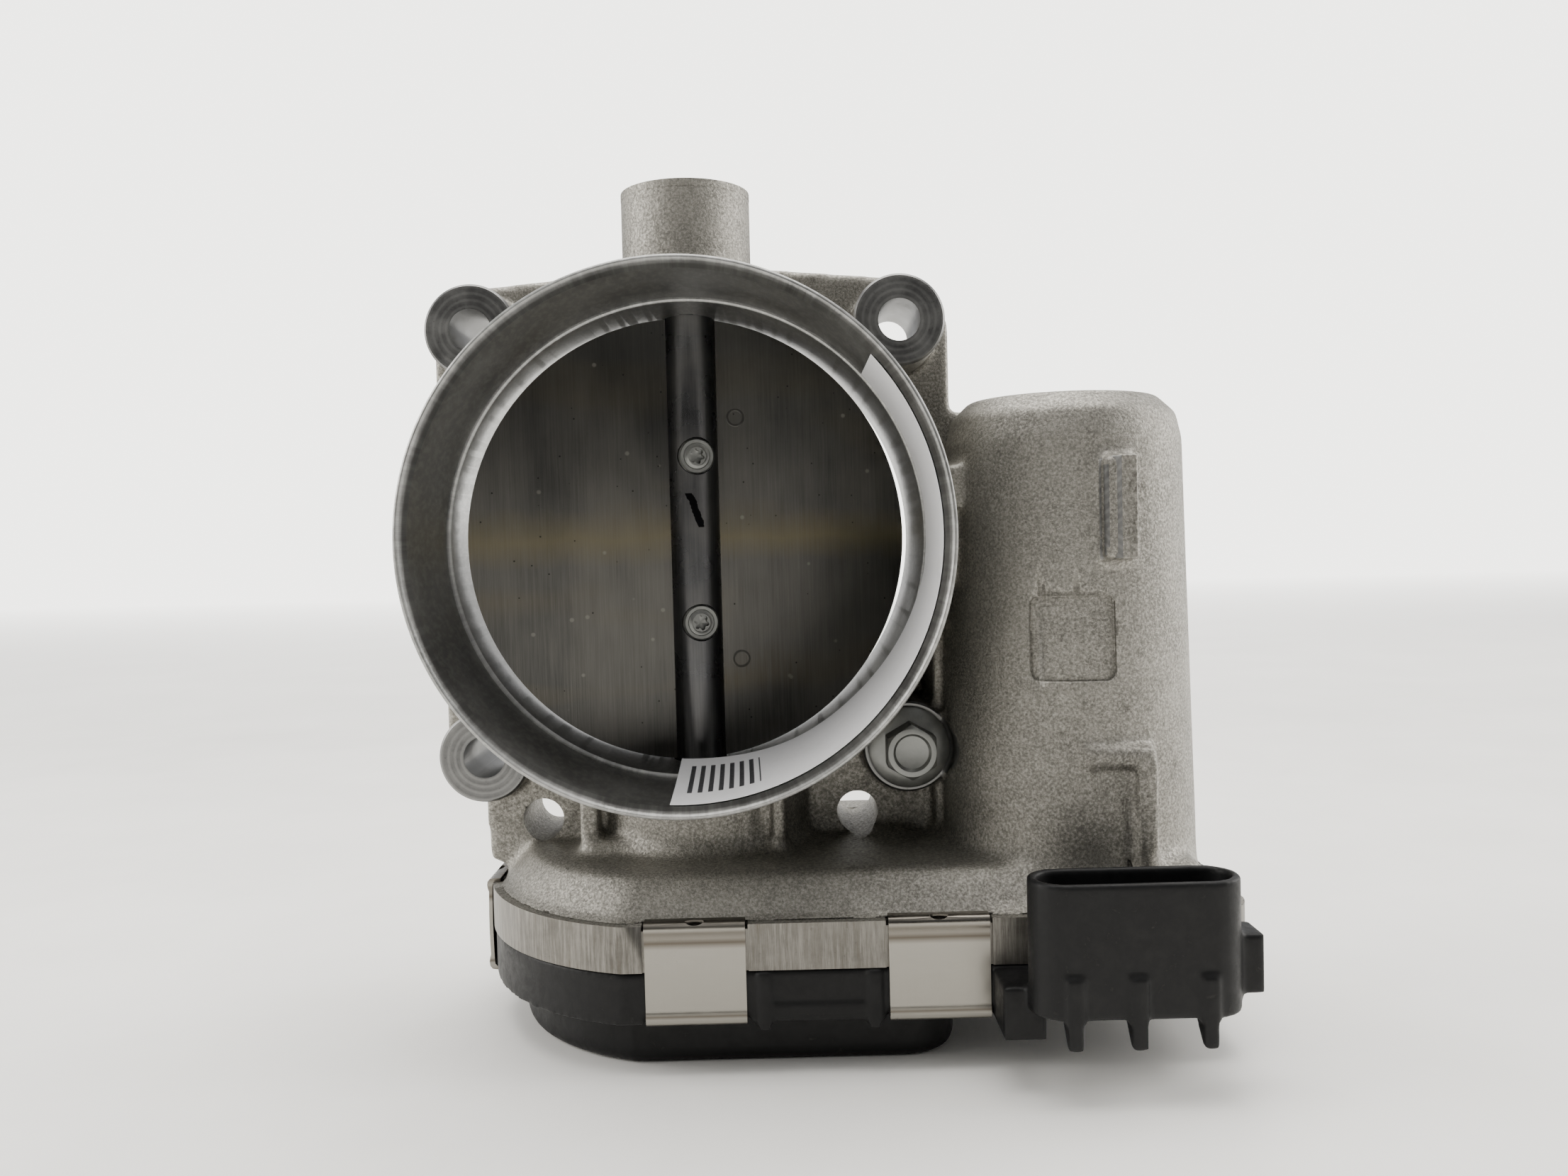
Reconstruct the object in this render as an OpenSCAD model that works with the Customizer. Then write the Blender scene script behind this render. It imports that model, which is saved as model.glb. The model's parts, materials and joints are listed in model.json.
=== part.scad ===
// Electronic throttle body: a motor-driven butterfly valve with a hose collar, a four-boss
// engine flange, a gear case under the bore and a clipped plastic cover with a connector.
// Millimetres. The origin is the bore's axis at the engine flange's face: +Y runs into the
// engine, +X towards the motor, +Z up along the throttle shaft.

/* [Bore and hose collar] */
// Diameter of the throttle bore
bore_d = 76; // [66:0.5:90]
// Wall of the hose collar, measured at the bore's diameter
collar_wall = 2.5; // [2.2:0.1:3.5]
// Wall of the barrel behind the collar, measured at the bore's diameter
barrel_wall = 4.5; // [4:0.1:6]
// Distance from the shaft's axis to the collar's front edge
collar_reach = 38.5; // [32:0.5:48]
// Straight length of the collar's outside
collar_len = 19.5; // [15:0.5:22]
// How much wider than the bore the collar's mouth is, on the radius
mouth_step = 0.7; // [0.3:0.1:1]
// Depth of the wider mouth
mouth_depth = 22.5; // [10:0.5:25]

/* [Engine flange] */
// Distance from the shaft's axis to the flange's face
shaft_to_flange = 13; // [11:0.5:18]
// Gap between the barrel and the round bolt bosses
boss_gap = 0.1; // [0:0.1:4]
// Diameter of the mounting holes
bolt_hole_d = 7; // [6.4:0.1:8.4]
// Diameter of the round bosses that the bolts go through
boss_d = 15.2; // [14.6:0.1:17]
// Length of the bosses
boss_len = 22.3; // [16:0.1:26]
// Thickness of the flange plate
flange_t = 8; // [6:0.5:10]
// How far the plate's edge stands outside the hole centres
flange_margin = 10; // [9:0.5:12]
// Distance between the two plain holes of the lower flange
plain_hole_gap = 54; // [50:0.5:60]

/* [Shaft and plate] */
// Diameter of the throttle shaft
shaft_d = 9; // [8:0.5:10]
// Thickness of the throttle plate
plate_t = 2.5; // [1.5:0.1:3]
// Angle between the closed plate and the plane across the bore
closed_angle = 5; // [3:0.5:8]
// Angle between the resting plate and the plane across the bore
rest_angle = 15; // [12:0.5:18]
// Distance between the plate's two screws
plate_screw_gap = 28.4; // [22:0.2:36]
// Diameter of the plate screws' heads
plate_screw_head_d = 6.2; // [5.2:0.1:6.4]
// Outside diameter of the shaft's upper boss
top_boss_d = 22; // [20:0.5:24]
// Height of the upper boss above the bore's edge
top_boss_h = 21; // [18:0.5:26]

/* [Motor] */
// Diameter of the motor's can
motor_can_d = 32.5; // [30:0.5:34]
// Length of the motor's can
motor_can_len = 71; // [58:1:74]
// Wall of the motor housing at its top
motor_wall = 2.5; // [2:0.1:4]
// Distance from the shaft's axis forward to the motor's axis
motor_forward = 9; // [6:0.5:12]

/* [Gears] */
// Teeth of the motor's pinion
pinion_teeth = 13; // [12:1:15]
// Teeth of the intermediate gear's large wheel
wheel_teeth = 63; // [55:1:66]
// Teeth of the intermediate gear's small wheel
small_teeth = 13; // [12:1:15]
// Teeth of a full circle of the sector gear
sector_teeth = 58; // [52:1:60]
// Share of the distance between motor and shaft that the sector stage takes
stage_split = 0.514; // [0.505:0.001:0.52]
// Play between meshed teeth, measured on the pitch circle
backlash = 0.16; // [0.1:0.01:0.24]

/* [Gear case and cover] */
// Radius of the case's round end about the shaft
case_r = 36; // [34:0.5:38]
// Distance from the shaft's axis to the case's flat front, moved out where bigger gears or screws need it
case_front = 34.5; // [33:0.5:37]
// Distance from the bore's edge down to the joint between casting and cover
joint_drop = 26; // [25:0.5:30]
// Wall of the cast case
case_wall = 2.8; // [2.4:0.1:3.2]
// Height of the machined rim
rim_h = 7; // [6:0.5:8]
// Wall of the plastic cover
cover_wall = 2.2; // [1.8:0.1:2.8]
// Depth of the cover's skirt below the joint
skirt_h = 8; // [7:0.5:9]
// Depth of the cover's deep pan below the joint
pan_h = 16; // [15:0.5:20]
// Width of a retaining clip
clip_w = 15; // [12:0.5:16]
// Thickness of the clips' spring steel
clip_t = 0.6; // [0.5:0.1:0.8]

/* [Connector] */
// Width of the connector shell
conn_w = 29.6; // [27:0.2:32]
// Depth of the connector shell, front to back
conn_d = 9.4; // [8.5:0.1:11]
// Height of the connector shell
conn_h = 19; // [17:0.5:22]
// Wall of the connector shell
conn_wall = 1.2; // [1:0.1:1.5]
// Number of contact pins
pin_count = 6; // [4:1:8]

/* [Fits] */
// Radial play of a shaft in its bearing
running_gap = 0.03; // [0.02:0.01:0.06]
// Radial gap of a seated ring or bush, kept so that its faces only just clear
seat_gap = 0.02; // [0.01:0.01:0.04]
// Gap between the closed plate's edge and the bore
plate_gap = 0.1; // [0.06:0.01:0.2]
// Gap between moving pieces and the walls around them
swing_gap = 0.8; // [0.6:0.1:1.2]

/* [Hidden] */
$fn = 96;
e = 0.5;                                  // how far a cutter runs past the face it cuts

// --- bore, collar and shaft line
bore_r = bore_d / 2;
collar_r = bore_r + collar_wall;
barrel_r = bore_r + barrel_wall;
mouth_r = bore_r + mouth_step;
shaft_y = -shaft_to_flange;
collar_y = shaft_y - collar_reach;
shaft_r = shaft_d / 2;
bolt_square = round((barrel_r + boss_gap + boss_d / 2) * sqrt(2));   // hole to hole along a side
bolt_half = bolt_square / 2;
flange_low_z = -bolt_half - flange_margin;
boss_y = -boss_len;
top_z = bore_r + top_boss_h;

// --- bearings, at catalogue proportions for the shaft
needle_r = 1;                             // radius of a roller
needle_cup_t = 1;
needle_len = 8;
needle_cup_r = shaft_r + running_gap + 2 * needle_r + needle_cup_t;
needle_count = 12;
needle_top_z = bore_r + 15;
needle_bottom_z = needle_top_z - needle_len - 2 * needle_cup_t;
ball_outer_r = shaft_r + 4;               // outside of the ball bearing
ball_ring_t = 1;
ball_w = 4.5;
ball_r = (ball_outer_r - shaft_r - 2 * ball_ring_t) / 2 - seat_gap;
ball_pitch_r = (ball_outer_r + shaft_r) / 2;
ball_count = 9;
spring_pocket_z = flange_low_z - 2.5;     // the spring's pocket stays below the engine's flange
ball_top_z = spring_pocket_z + ball_w;
seal_t = 2.5;
seal_outer_r = shaft_r + 3;
end_plug_t = 2;
end_plug_z = top_z - end_plug_t - 0.8;
shaft_top_z = needle_top_z + 0.5;
blade_gap = 0.05;                         // between the plate and its slot in the shaft

// --- the stack of levels under the bore, from the roof of the gear case down
joint_z = -bore_r - joint_drop;
rim_top_z = joint_z + rim_h;
roof_z = rim_top_z;                       // inner face of the case's roof
roof_t = 6;
roof_top_z = roof_z + roof_t;
wheel_top_z = roof_z - 1;
wheel_h = 4;
pinion_h = 6;
sector_top_z = wheel_top_z - wheel_h - 1.4;
sector_h = 4.5;
shaft_bottom_z = sector_top_z - sector_h - 1;
hub_r = 9;
magnet_h = 2.5;
board_z = shaft_bottom_z - magnet_h - 2.6;
pan_z = joint_z - pan_h;
skirt_z = joint_z - skirt_h;
pan_floor_z = pan_z + cover_wall;
skirt_floor_z = skirt_z + cover_wall;
cover_inset = 0.3;                        // the skirt stands inside the casting's outline
groove_in = 0.7;                          // seal groove in the rim's face
groove_w = 1.3;
groove_h = 1.2;

// --- return spring in its pocket round the lower shaft boss
spring_pocket_r = 16;
spring_boss_r = spring_pocket_r + case_wall;
spring_r = 12.6;                          // middle of the wire
spring_wire = 1.1;
spring_pitch = spring_wire - 0.02;
spring_top_z = spring_pocket_z - 0.4;
hub_disc_top = roof_z + 2.6;
hub_sleeve_r = 6.2;
spring_turns = floor((spring_top_z - hub_disc_top - 0.4) / spring_pitch);

// --- motor and gear train: the pitch circles fill the distance between the two axes
can_r = motor_can_d / 2;
can_gap = 0.3;
tower_top_r = can_r + can_gap + motor_wall;
tower_r = tower_top_r + 1.6;               // the housing is wider at its foot, as cast
motor_x = barrel_r + tower_r - 1.2;
motor_y = shaft_y - motor_forward;
train_angle = atan2(-motor_forward, motor_x);
train_length = norm([motor_x, motor_forward]);
sector_stage = stage_split * train_length;
wheel_stage = train_length - sector_stage;
sector_module = 2 * sector_stage / (small_teeth + sector_teeth);
wheel_module = 2 * wheel_stage / (pinion_teeth + wheel_teeth);
idler_x = sector_stage * cos(train_angle);
idler_y = shaft_y + sector_stage * sin(train_angle);
axle_r = 2.5;
sector_tip_r = sector_module * (sector_teeth / 2 + 1);
wheel_tip_r = wheel_module * (wheel_teeth / 2 + 1);
motor_thread_r = 1.25;
teeth_before = 14;                        // sector teeth on the opening side of the mesh
teeth_after = 3;                          // and on the closing side
small_top_z = wheel_top_z - wheel_h;
small_bottom_z = sector_top_z - sector_h - 0.8;
small_clear_r = 8;                        // web round the small wheel
axle_seat = 4.8;                          // how deep the axle sits in the roof

// --- motor
end_plate_z = roof_z + 0.1;
end_plate_t = 1.4;
can_t = 1.2;
can_bottom_z = end_plate_z + end_plate_t;
can_top_z = can_bottom_z + motor_can_len;
bore_top_z = can_top_z + 3;               // end of the bore that takes the can
tower_top_z = bore_top_z + motor_wall + 0.5;
motor_screw_r = can_r + 2.9;
motor_screw_angles = [75, 285];
motor_ear_r = 2.7;
motor_screw_head_r = 2.2;
motor_screw_head_h = 1.4;
magnet_t = 3.4;
armature_r = can_r - can_t - magnet_t - 0.5;
motor_shaft_r = 1.6;
commutator_r = 4.5;
core_len = motor_can_len - 34;
core_z = can_bottom_z + 17;
commutator_z = core_z - 11;
pinion_top_z = roof_z - 0.5;
pinion_bottom_z = pinion_top_z - pinion_h;

// --- gear case outline
front_of_wheel = shaft_y - idler_y + wheel_tip_r;
front_of_ears = motor_forward + motor_screw_r * sin(motor_screw_angles[0]) + motor_ear_r;
front_reach = max(case_front, max(front_of_wheel, front_of_ears) + swing_gap / 2 + case_wall);
rear_deep = sector_tip_r + swing_gap + case_wall;        // behind the shaft
rear_shallow = -motor_forward + tower_r + 4.5;           // behind the motor
case_right = motor_x + tower_r + 2;
wheel_clear = wheel_tip_r + swing_gap + case_wall;       // keeps the sloped rear wall off the wheel
step_x = idler_x + (idler_y - shaft_y) * 4 / 3 + wheel_clear * 5 / 3 - rear_shallow * 4 / 3;
corner_r = 8;
upper_inset = 3;
pan_inset = 5.2;
pan_round = 3;
pan_right = idler_x + 8.5;

// --- clips: [x, y, direction that the clip faces]
clip_x1 = 0.8;
clip_x2 = clip_x1 + 36.2;
clip_front_y = shaft_y - front_reach;
clip_places = [
    [clip_x1, clip_front_y, 0],
    [clip_x2, clip_front_y, 0],
    [-case_r, shaft_y, 270],
    [2, shaft_y + rear_deep, 180],
    [motor_x + 2, shaft_y + rear_shallow, 180],
    [case_right, motor_y + 1, 90]
];
clip_gap = 0.02;
clip_seat = 0.35;                         // how deep the clips' landings are cut into the walls
clip_lip = 2;                             // how far a clip hooks over the rim
clip_notch = clip_seat + clip_lip + 0.2;
clip_roll_r = 0.5;                        // rolled edge of a clip's lips
clip_top_z = rim_top_z - 0.8;             // faces that the clips pull together
clip_bottom_z = skirt_z + 1.2;

// --- connector
conn_x = motor_x + 1.1;
conn_out = 14.1;                          // how far the connector stands in front of the case
conn_front_y = clip_front_y - conn_out;
conn_y = conn_front_y + conn_d / 2;
conn_top_z = joint_z + 15.6;
conn_bottom_z = conn_top_z - conn_h;
conn_floor_z = conn_bottom_z + 5;
pin_pitch = 3.6;
pin_w = 0.8;
pin_z = skirt_floor_z + 2.22;

// --- casting details
lower_y = shaft_y - 4;                    // front of the lower flange wall
lower_left = -bolt_half - 1.2;
tower_web_y = shaft_y + 5;
rib_places = [-19, 10.5];                 // ribs beside the spring pocket
rib_t = 3;
bar_len = 15.6;                           // raised bar on the motor housing
ledge_z = joint_z + 28;                   // small ledge below it
detail_out = 0.6;                         // how far these stand out
web_gap = 18;                             // how far the web stops below the tower's top

// --- mounting bolt, with a waisted shank inside its boss
bolt_r = 3;
bolt_shank_r = 2.65;
bolt_len = 35;
bolt_thread_start = 0.5;                  // in front of this the shank is waisted
bolt_flange_r = 6.8;
bolt_flange_t = 1.4;
bolt_flats = 8;                           // corner factor of the hexagon's width
bolt_head_h = 6.6;
bolt_dish_r = 2.6;
bolt_dish = 1;
label_t = 0.15;
label_w = 22.5;
label_front = 1.5;                        // how far behind the collar's edge the label starts
label_from = 42;                          // where the label starts above the motor's side
label_sweep = 135;

// A ring or tube that stands on the XY plane
module tube(r_out, r_in, h) {
    difference() {
        cylinder(r = r_out, h = h);
        translate([0, 0, -e]) cylinder(r = r_in, h = h + 2 * e);
    }
}

// A cylinder along +Y from y0 to y1
module along_y(r, y0, y1) {
    translate([0, y1, 0]) rotate([90, 0, 0]) cylinder(r = r, h = y1 - y0);
}

module on_shaft(z = 0) { translate([0, shaft_y, z]) children(); }
module on_idler(z = 0) { translate([idler_x, idler_y, z]) children(); }
module on_motor(z = 0) { translate([motor_x, motor_y, z]) children(); }

module at_bosses() {
    for (x = [-1, 1], z = [-1, 1]) translate([x * bolt_half, 0, z * bolt_half]) children();
}

// Involute-like tooth outline on a spur wheel; teeth centred on first_angle + k * pitch
function tooth_r(m, n, f) = m * (n / 2 - 1.15 + 2.15 * f);
function tooth_half(m, n, f) =
    let (r = tooth_r(m, n, f), rp = m * n / 2, rb = rp * cos(20), rr = max(r, rb))
    90 / n - 180 / PI * (backlash / 4) / rp
    + involute(acos(rb / rp)) - involute(acos(min(1, rb / rr)));
function involute(a) = 180 / PI * tan(a) - a;
flank = [0, 0.3, 0.5, 0.75, 1];

module gear_outline(m, n, first_angle, from_k, to_k, root_r) {
    pitch = 360 / n;
    if (to_k - from_k + 1 < n)
        circle(r = root_r);
    polygon([
        if (to_k - from_k + 1 < n) [0, 0],
        for (k = [from_k:to_k]) let (a = first_angle + k * pitch) each concat(
            [for (f = flank) tooth_r(m, n, f)
                * [cos(a - tooth_half(m, n, f)), sin(a - tooth_half(m, n, f))]],
            [for (i = [len(flank) - 1:-1:0]) let (f = flank[i]) tooth_r(m, n, f)
                * [cos(a + tooth_half(m, n, f)), sin(a + tooth_half(m, n, f))]]
        )
    ]);
}

// The case's outline seen from above, g inside its outer face. The band trims its front and rear.
module case_plan(g = 0) {
    corner_x = case_right - corner_r;
    step_end = step_x - g / 3;
    beyond = 5;
    translate([0, shaft_y]) intersection() {
        translate([-case_r, -front_reach + g])
            square([case_r + case_right, front_reach + rear_deep - 2 * g]);
        union() {
            circle(r = case_r - g);
            for (y = [-front_reach + corner_r, rear_shallow - corner_r])
                translate([corner_x, y]) circle(r = corner_r - g);
            polygon([
                [0, -front_reach - beyond], [corner_x, -front_reach - beyond],
                [corner_x, -front_reach + corner_r], [case_right - g, -front_reach + corner_r],
                [case_right - g, rear_shallow - corner_r], [corner_x, rear_shallow - corner_r],
                [corner_x, rear_shallow - g], [step_end, rear_shallow - g],
                [step_end - (rear_deep + beyond - rear_shallow + g) * 4 / 3, rear_deep + beyond],
                [0, rear_deep + beyond]
            ]);
        }
    }
}

// The deep pan's outline, g inside its outer face
module pan_plan(g = 0) {
    intersection() {
        case_plan(pan_inset + g);
        union() {
            translate([-case_r, shaft_y - front_reach])
                square([case_r + pan_right - corner_r, front_reach + rear_deep]);
            translate([-case_r, shaft_y - front_reach + pan_inset + corner_r])
                square([case_r + pan_right - g, front_reach + rear_deep
                    - 2 * pan_inset - 2 * corner_r]);
            for (y = [-front_reach + pan_inset + corner_r, rear_deep - pan_inset - corner_r])
                translate([pan_right - corner_r, shaft_y + y]) circle(r = corner_r - g);
        }
    }
}

// The flange plate's outline, drawn in X and Z
module flange_plan() {
    corner = flange_margin;
    at = bolt_half;
    for (x = [-1, 1], z = [-1, 1]) translate([x * at, z * at]) circle(r = corner);
    square([2 * at, 2 * (at + corner)], center = true);
    square([2 * (at + corner), 2 * at], center = true);
    polygon([
        [-at, at + corner - 0.01], [-top_boss_d / 2, at + corner + 2.2],
        [top_boss_d / 2, at + corner + 2.2], [at, at + corner - 0.01]
    ]);
}

// ---------------------------------------------------------------- housing casting
// Keeps what lies in front of the engine flange's face, between two levels
module in_front_of_flange(z0, z1) {
    intersection() {
        children();
        translate([-case_r, collar_y, z0]) cube([2 * case_r, -collar_y, z1 - z0]);
    }
}

module casting_solid() {
    // barrel and collar
    along_y(collar_r, collar_y, 0);
    along_y(barrel_r, collar_y + collar_len, 0);
    // flange plate and bolt bosses
    rotate([90, 0, 0]) linear_extrude(height = flange_t) flange_plan();
    at_bosses() along_y(boss_d / 2, boss_y, 0);
    for (x = [-1, 1], z = [-1, 1])
        translate([x * (bolt_half - 6.5) - 3.5, boss_y + 2, z * (bolt_half - 6.5) - 3.5])
            cube([7, boss_len - 2, 7]);
    // upper shaft boss, with its root collar
    on_shaft(bore_r - 2) cylinder(r = top_boss_d / 2, h = top_z - bore_r + 2);
    in_front_of_flange(bore_r, top_z)
        on_shaft(bore_r) cylinder(r1 = top_boss_d / 2 + 5, r2 = top_boss_d / 2, h = 8);
    // lower flange wall between the bore and the gear case
    translate([lower_left, lower_y, roof_z])
        cube([motor_x - lower_left, -lower_y, -bolt_half - roof_z]);
    // spring pocket's boss, which stands behind the flange's face only below the flange
    on_shaft(roof_z) cylinder(r = spring_boss_r, h = spring_pocket_z + 2 - roof_z);
    on_shaft(roof_z) cylinder(r1 = spring_boss_r + 3, r2 = spring_boss_r, h = spring_pocket_z - roof_z);
    in_front_of_flange(roof_z, 0) on_shaft(roof_z) {
        cylinder(r = spring_boss_r, h = -barrel_r + 6 - roof_z);
        cylinder(r1 = spring_boss_r + 7, r2 = spring_boss_r, h = 8);
    }
    // ribs beside the spring pocket
    for (x = rib_places) translate([x, shaft_y - 15, roof_z]) cube([rib_t, 15, -bore_r - roof_z]);
    translate([rib_places[0], shaft_y - 14, roof_top_z]) cube([12, 12, rib_t]);
    // gear case: rim and the narrower roof above it
    translate([0, 0, joint_z]) linear_extrude(height = rim_h) case_plan();
    for (k = [1:3]) translate([0, 0, roof_z]) linear_extrude(height = 2 * k)
        case_plan(upper_inset + 1.6 * (k - 1));
    // motor housing, joined to the flange by a web
    on_motor(roof_z) cylinder(r1 = tower_r, r2 = tower_top_r, h = tower_top_z - 7 - roof_z);
    on_motor(tower_top_z - 7) cylinder(r1 = tower_top_r, r2 = tower_top_r - 0.9, h = 4);
    on_motor(tower_top_z - 3) cylinder(r1 = tower_top_r - 0.9, r2 = tower_top_r - 4, h = 3);
    translate([0, tower_web_y, roof_z]) cube([motor_x, -tower_web_y - 2, tower_top_z - roof_z]);
    translate([bore_r + 2, motor_y + 2, roof_z])
        cube([motor_x - bore_r - 2, -motor_y - 4, tower_top_z - roof_z - web_gap]);
    // raised bar and small ledge on the motor housing's front
    on_motor(-4.6) translate([1.6, -tower_r - detail_out, 0]) cube([5, 6, bar_len]);
    on_motor(ledge_z) translate([-1.5, -tower_r - detail_out, 0]) cube([10.5, 6, rib_t]);
    on_motor(roof_z) translate([6, -tower_r - detail_out - 0.2, 0])
        cube([3.2, 6, ledge_z - roof_z + 1]);
}

module casting_cuts() {
    // bore and mouth
    along_y(bore_r, collar_y - e, e);
    along_y(mouth_r, collar_y - e, collar_y + mouth_depth);
    translate([0, collar_y + 1.2, 0]) rotate([90, 0, 0])
        cylinder(r1 = mouth_r, r2 = mouth_r + 1.2 + e, h = 1.2 + e);
    // mounting holes and the two plain holes
    at_bosses() along_y(bolt_hole_d / 2, boss_y - e, e);
    at_bosses() along_y(boss_d / 2, boss_y - 14, boss_y);
    for (x = [-1, 1]) translate([x * plain_hole_gap / 2, 0, -bore_r - 9.3])
        along_y(3.5, lower_y - 30, e);
    // upper bearing seat and plug seat
    on_shaft(bore_r - 6) cylinder(r = shaft_r + 0.5, h = top_boss_h);
    on_shaft(needle_bottom_z) cylinder(r = needle_cup_r + seat_gap, h = top_z);
    on_shaft(end_plug_z) cylinder(r = needle_cup_r + 1.5, h = top_z);
    on_shaft(needle_bottom_z - seal_t) cylinder(r = seal_outer_r + seat_gap, h = seal_t + e);
    // lower seal seat, bearing seat and spring pocket
    on_shaft(roof_z) cylinder(r = shaft_r + 0.5, h = -bore_r - roof_z + 8);
    on_shaft(ball_top_z) cylinder(r = seal_outer_r + seat_gap, h = seal_t);
    on_shaft(ball_top_z - ball_w) cylinder(r = ball_outer_r + seat_gap, h = ball_w);
    on_shaft(roof_z - e) cylinder(r = spring_pocket_r, h = spring_pocket_z - roof_z + e);
    // inside of the gear case
    translate([0, 0, joint_z - e]) linear_extrude(height = roof_z - joint_z + e)
        case_plan(case_wall);
    // seal groove in the rim's face
    translate([0, 0, joint_z - e]) linear_extrude(height = groove_h + e) difference() {
        case_plan(groove_in);
        case_plan(groove_in + groove_w);
    }
    // landings for the clips
    for (c = clip_places) translate([c[0], c[1], 0]) rotate([0, 0, c[2]])
        clip_landing();
    // motor bore, end plate recess and screw holes
    on_motor(roof_z - e) cylinder(r = can_r + can_gap, h = bore_top_z - roof_z + e);
    on_motor(roof_z - e) linear_extrude(height = can_bottom_z - roof_z + e)
        end_plate_outline(0.15);
    motor_screw_places(roof_z) cylinder(r = motor_thread_r, h = 6.5);
    // gear axle hole and stop screw hole
    on_idler(roof_z - e) cylinder(r = axle_r, h = axle_seat + 0.1 + e);
    stop_place() cylinder(r = 1.8, h = 4.5 + e);
    // shallow square in the motor housing's front
    on_motor(-23.3) translate([-9, -tower_r - 2, 0]) cube([12.6, 3, 13]);
}

module stop_place() {
    translate([-21, shaft_y - 17, roof_z - e]) children();
}

module clip_landing() {
    wide = clip_w + 0.8;
    translate([-wide / 2, -2, clip_top_z]) cube([wide, 2 + clip_notch, 2.4 + e]);
    translate([-wide / 2, -2, joint_z - e]) cube([wide, 2 + clip_seat, rim_h + 2]);
}

module housing_casting() {
    color("darkgray") difference() {
        casting_solid();
        casting_cuts();
    }
}

// ---------------------------------------------------------------- throttle shaft group
module at_plate() { on_shaft() rotate([0, 0, rest_angle]) children(); }

module throttle_shaft() {
    color("dimgray") difference() {
        on_shaft(shaft_bottom_z) cylinder(r = shaft_r, h = shaft_top_z - shaft_bottom_z);
        at_plate() translate([-shaft_d, -plate_t / 2 - blade_gap, -bore_r - 0.5])
            cube([2 * shaft_d, plate_t + 2 * blade_gap, 2 * bore_r + 1]);
        plate_screw_places() {
            translate([0, 0, -shaft_r - e]) cylinder(r = 1.75, h = shaft_d + 2 * e);
            translate([0, 0, shaft_r - 2.2]) cylinder(r = plate_screw_head_d / 2 + 0.1, h = 4);
        }
        // flats that drive the sector gear
        on_shaft(shaft_bottom_z - e) for (a = [0, 180]) rotate([0, 0, a])
            translate([shaft_r - 0.8, -shaft_r, 0]) cube([2, shaft_d, sector_h + 1 + e]);
    }
}

module plate_screw_places() {
    at_plate() for (z = [-1, 1]) translate([0, 0, z * plate_screw_gap / 2])
        rotate([90, 0, 0]) children();
}

// The plate is the closed slab trimmed by the bore, turned on to its resting angle
module throttle_plate() {
    color("gray") difference() {
        on_shaft() rotate([0, 0, rest_angle - closed_angle]) intersection() {
            rotate([0, 0, closed_angle])
                translate([-bore_r - 4, -plate_t / 2, -bore_r]) cube([bore_d + 8, plate_t, bore_d]);
            rotate([90, 0, 0]) cylinder(r = bore_r - plate_gap, h = 30, center = true);
        }
        plate_screw_places() translate([0, 0, -plate_t]) cylinder(r = 1.75, h = 2 * plate_t);
    }
}

module plate_screws() {
    color("silver") plate_screw_places() difference() {
        union() {
            translate([0, 0, -shaft_r + 0.6]) cylinder(r = 1.6, h = shaft_d - 2);
            translate([0, 0, shaft_r - 2.1]) cylinder(r = plate_screw_head_d / 2, h = 1.9);
        }
        translate([0, 0, shaft_r - 1.5]) for (a = [0:60:300]) rotate([0, 0, a])
            translate([0.75, 0, 0]) cylinder(r = 0.5, h = 3, $fn = 24);
        translate([0, 0, shaft_r - 1.5]) cylinder(r = 0.95, h = 3, $fn = 24);
    }
}

module needle_bearing_cup() {
    color("lightgray") on_shaft(needle_bottom_z) difference() {
        cylinder(r = needle_cup_r, h = needle_len + 2 * needle_cup_t);
        translate([0, 0, needle_cup_t]) cylinder(r = needle_cup_r - needle_cup_t, h = needle_len);
        translate([0, 0, -e]) cylinder(r = shaft_r + 0.6, h = needle_len + 2 * needle_cup_t + 2 * e);
    }
}

module needle_rollers() {
    color("white") on_shaft(needle_bottom_z + needle_cup_t + 0.1) for (k = [0:needle_count - 1])
        rotate([0, 0, k * 360 / needle_count])
            translate([shaft_r + running_gap + needle_r, 0, 0])
                cylinder(r = needle_r - 0.01, h = needle_len - 0.2, $fn = 32);
}

module ball_race(r_out, r_in) {
    on_shaft(ball_top_z - ball_w) difference() {
        tube(r_out, r_in, ball_w);
        translate([0, 0, ball_w / 2]) rotate_extrude() translate([ball_pitch_r, 0])
            circle(r = ball_r + seat_gap, $fn = 48);
    }
}

module ball_bearing_outer_ring() {
    color("lightgray") ball_race(ball_outer_r, ball_outer_r - ball_ring_t);
}

module ball_bearing_inner_ring() {
    color("lightgray") ball_race(shaft_r + ball_ring_t, shaft_r + seat_gap / 2);
}

module bearing_balls() {
    color("white") on_shaft(ball_top_z - ball_w / 2) for (k = [0:ball_count - 1])
        rotate([0, 0, k * 360 / ball_count]) translate([ball_pitch_r, 0, 0])
            sphere(r = ball_r - 0.01, $fn = 48);
}

module shaft_seals() {
    color("black") for (z = [needle_bottom_z - seal_t, ball_top_z + 0.02])
        on_shaft(z) tube(seal_outer_r, shaft_r + running_gap, seal_t - 0.04);
}

module shaft_end_plug() {
    color("silver") on_shaft(end_plug_z) difference() {
        cylinder(r = needle_cup_r + 1.5 - seat_gap, h = end_plug_t);
        translate([0, 0, 0.8]) cylinder(r = needle_cup_r, h = end_plug_t);
    }
}

// Each turn of the return spring is a closed ring; together they stand for the wound coil
module return_spring() {
    color("gray") on_shaft() for (k = [0:spring_turns - 1])
        translate([0, 0, spring_top_z - spring_wire / 2 - k * spring_pitch])
            rotate_extrude() translate([spring_r, 0]) circle(r = spring_wire / 2, $fn = 24);
}

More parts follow.
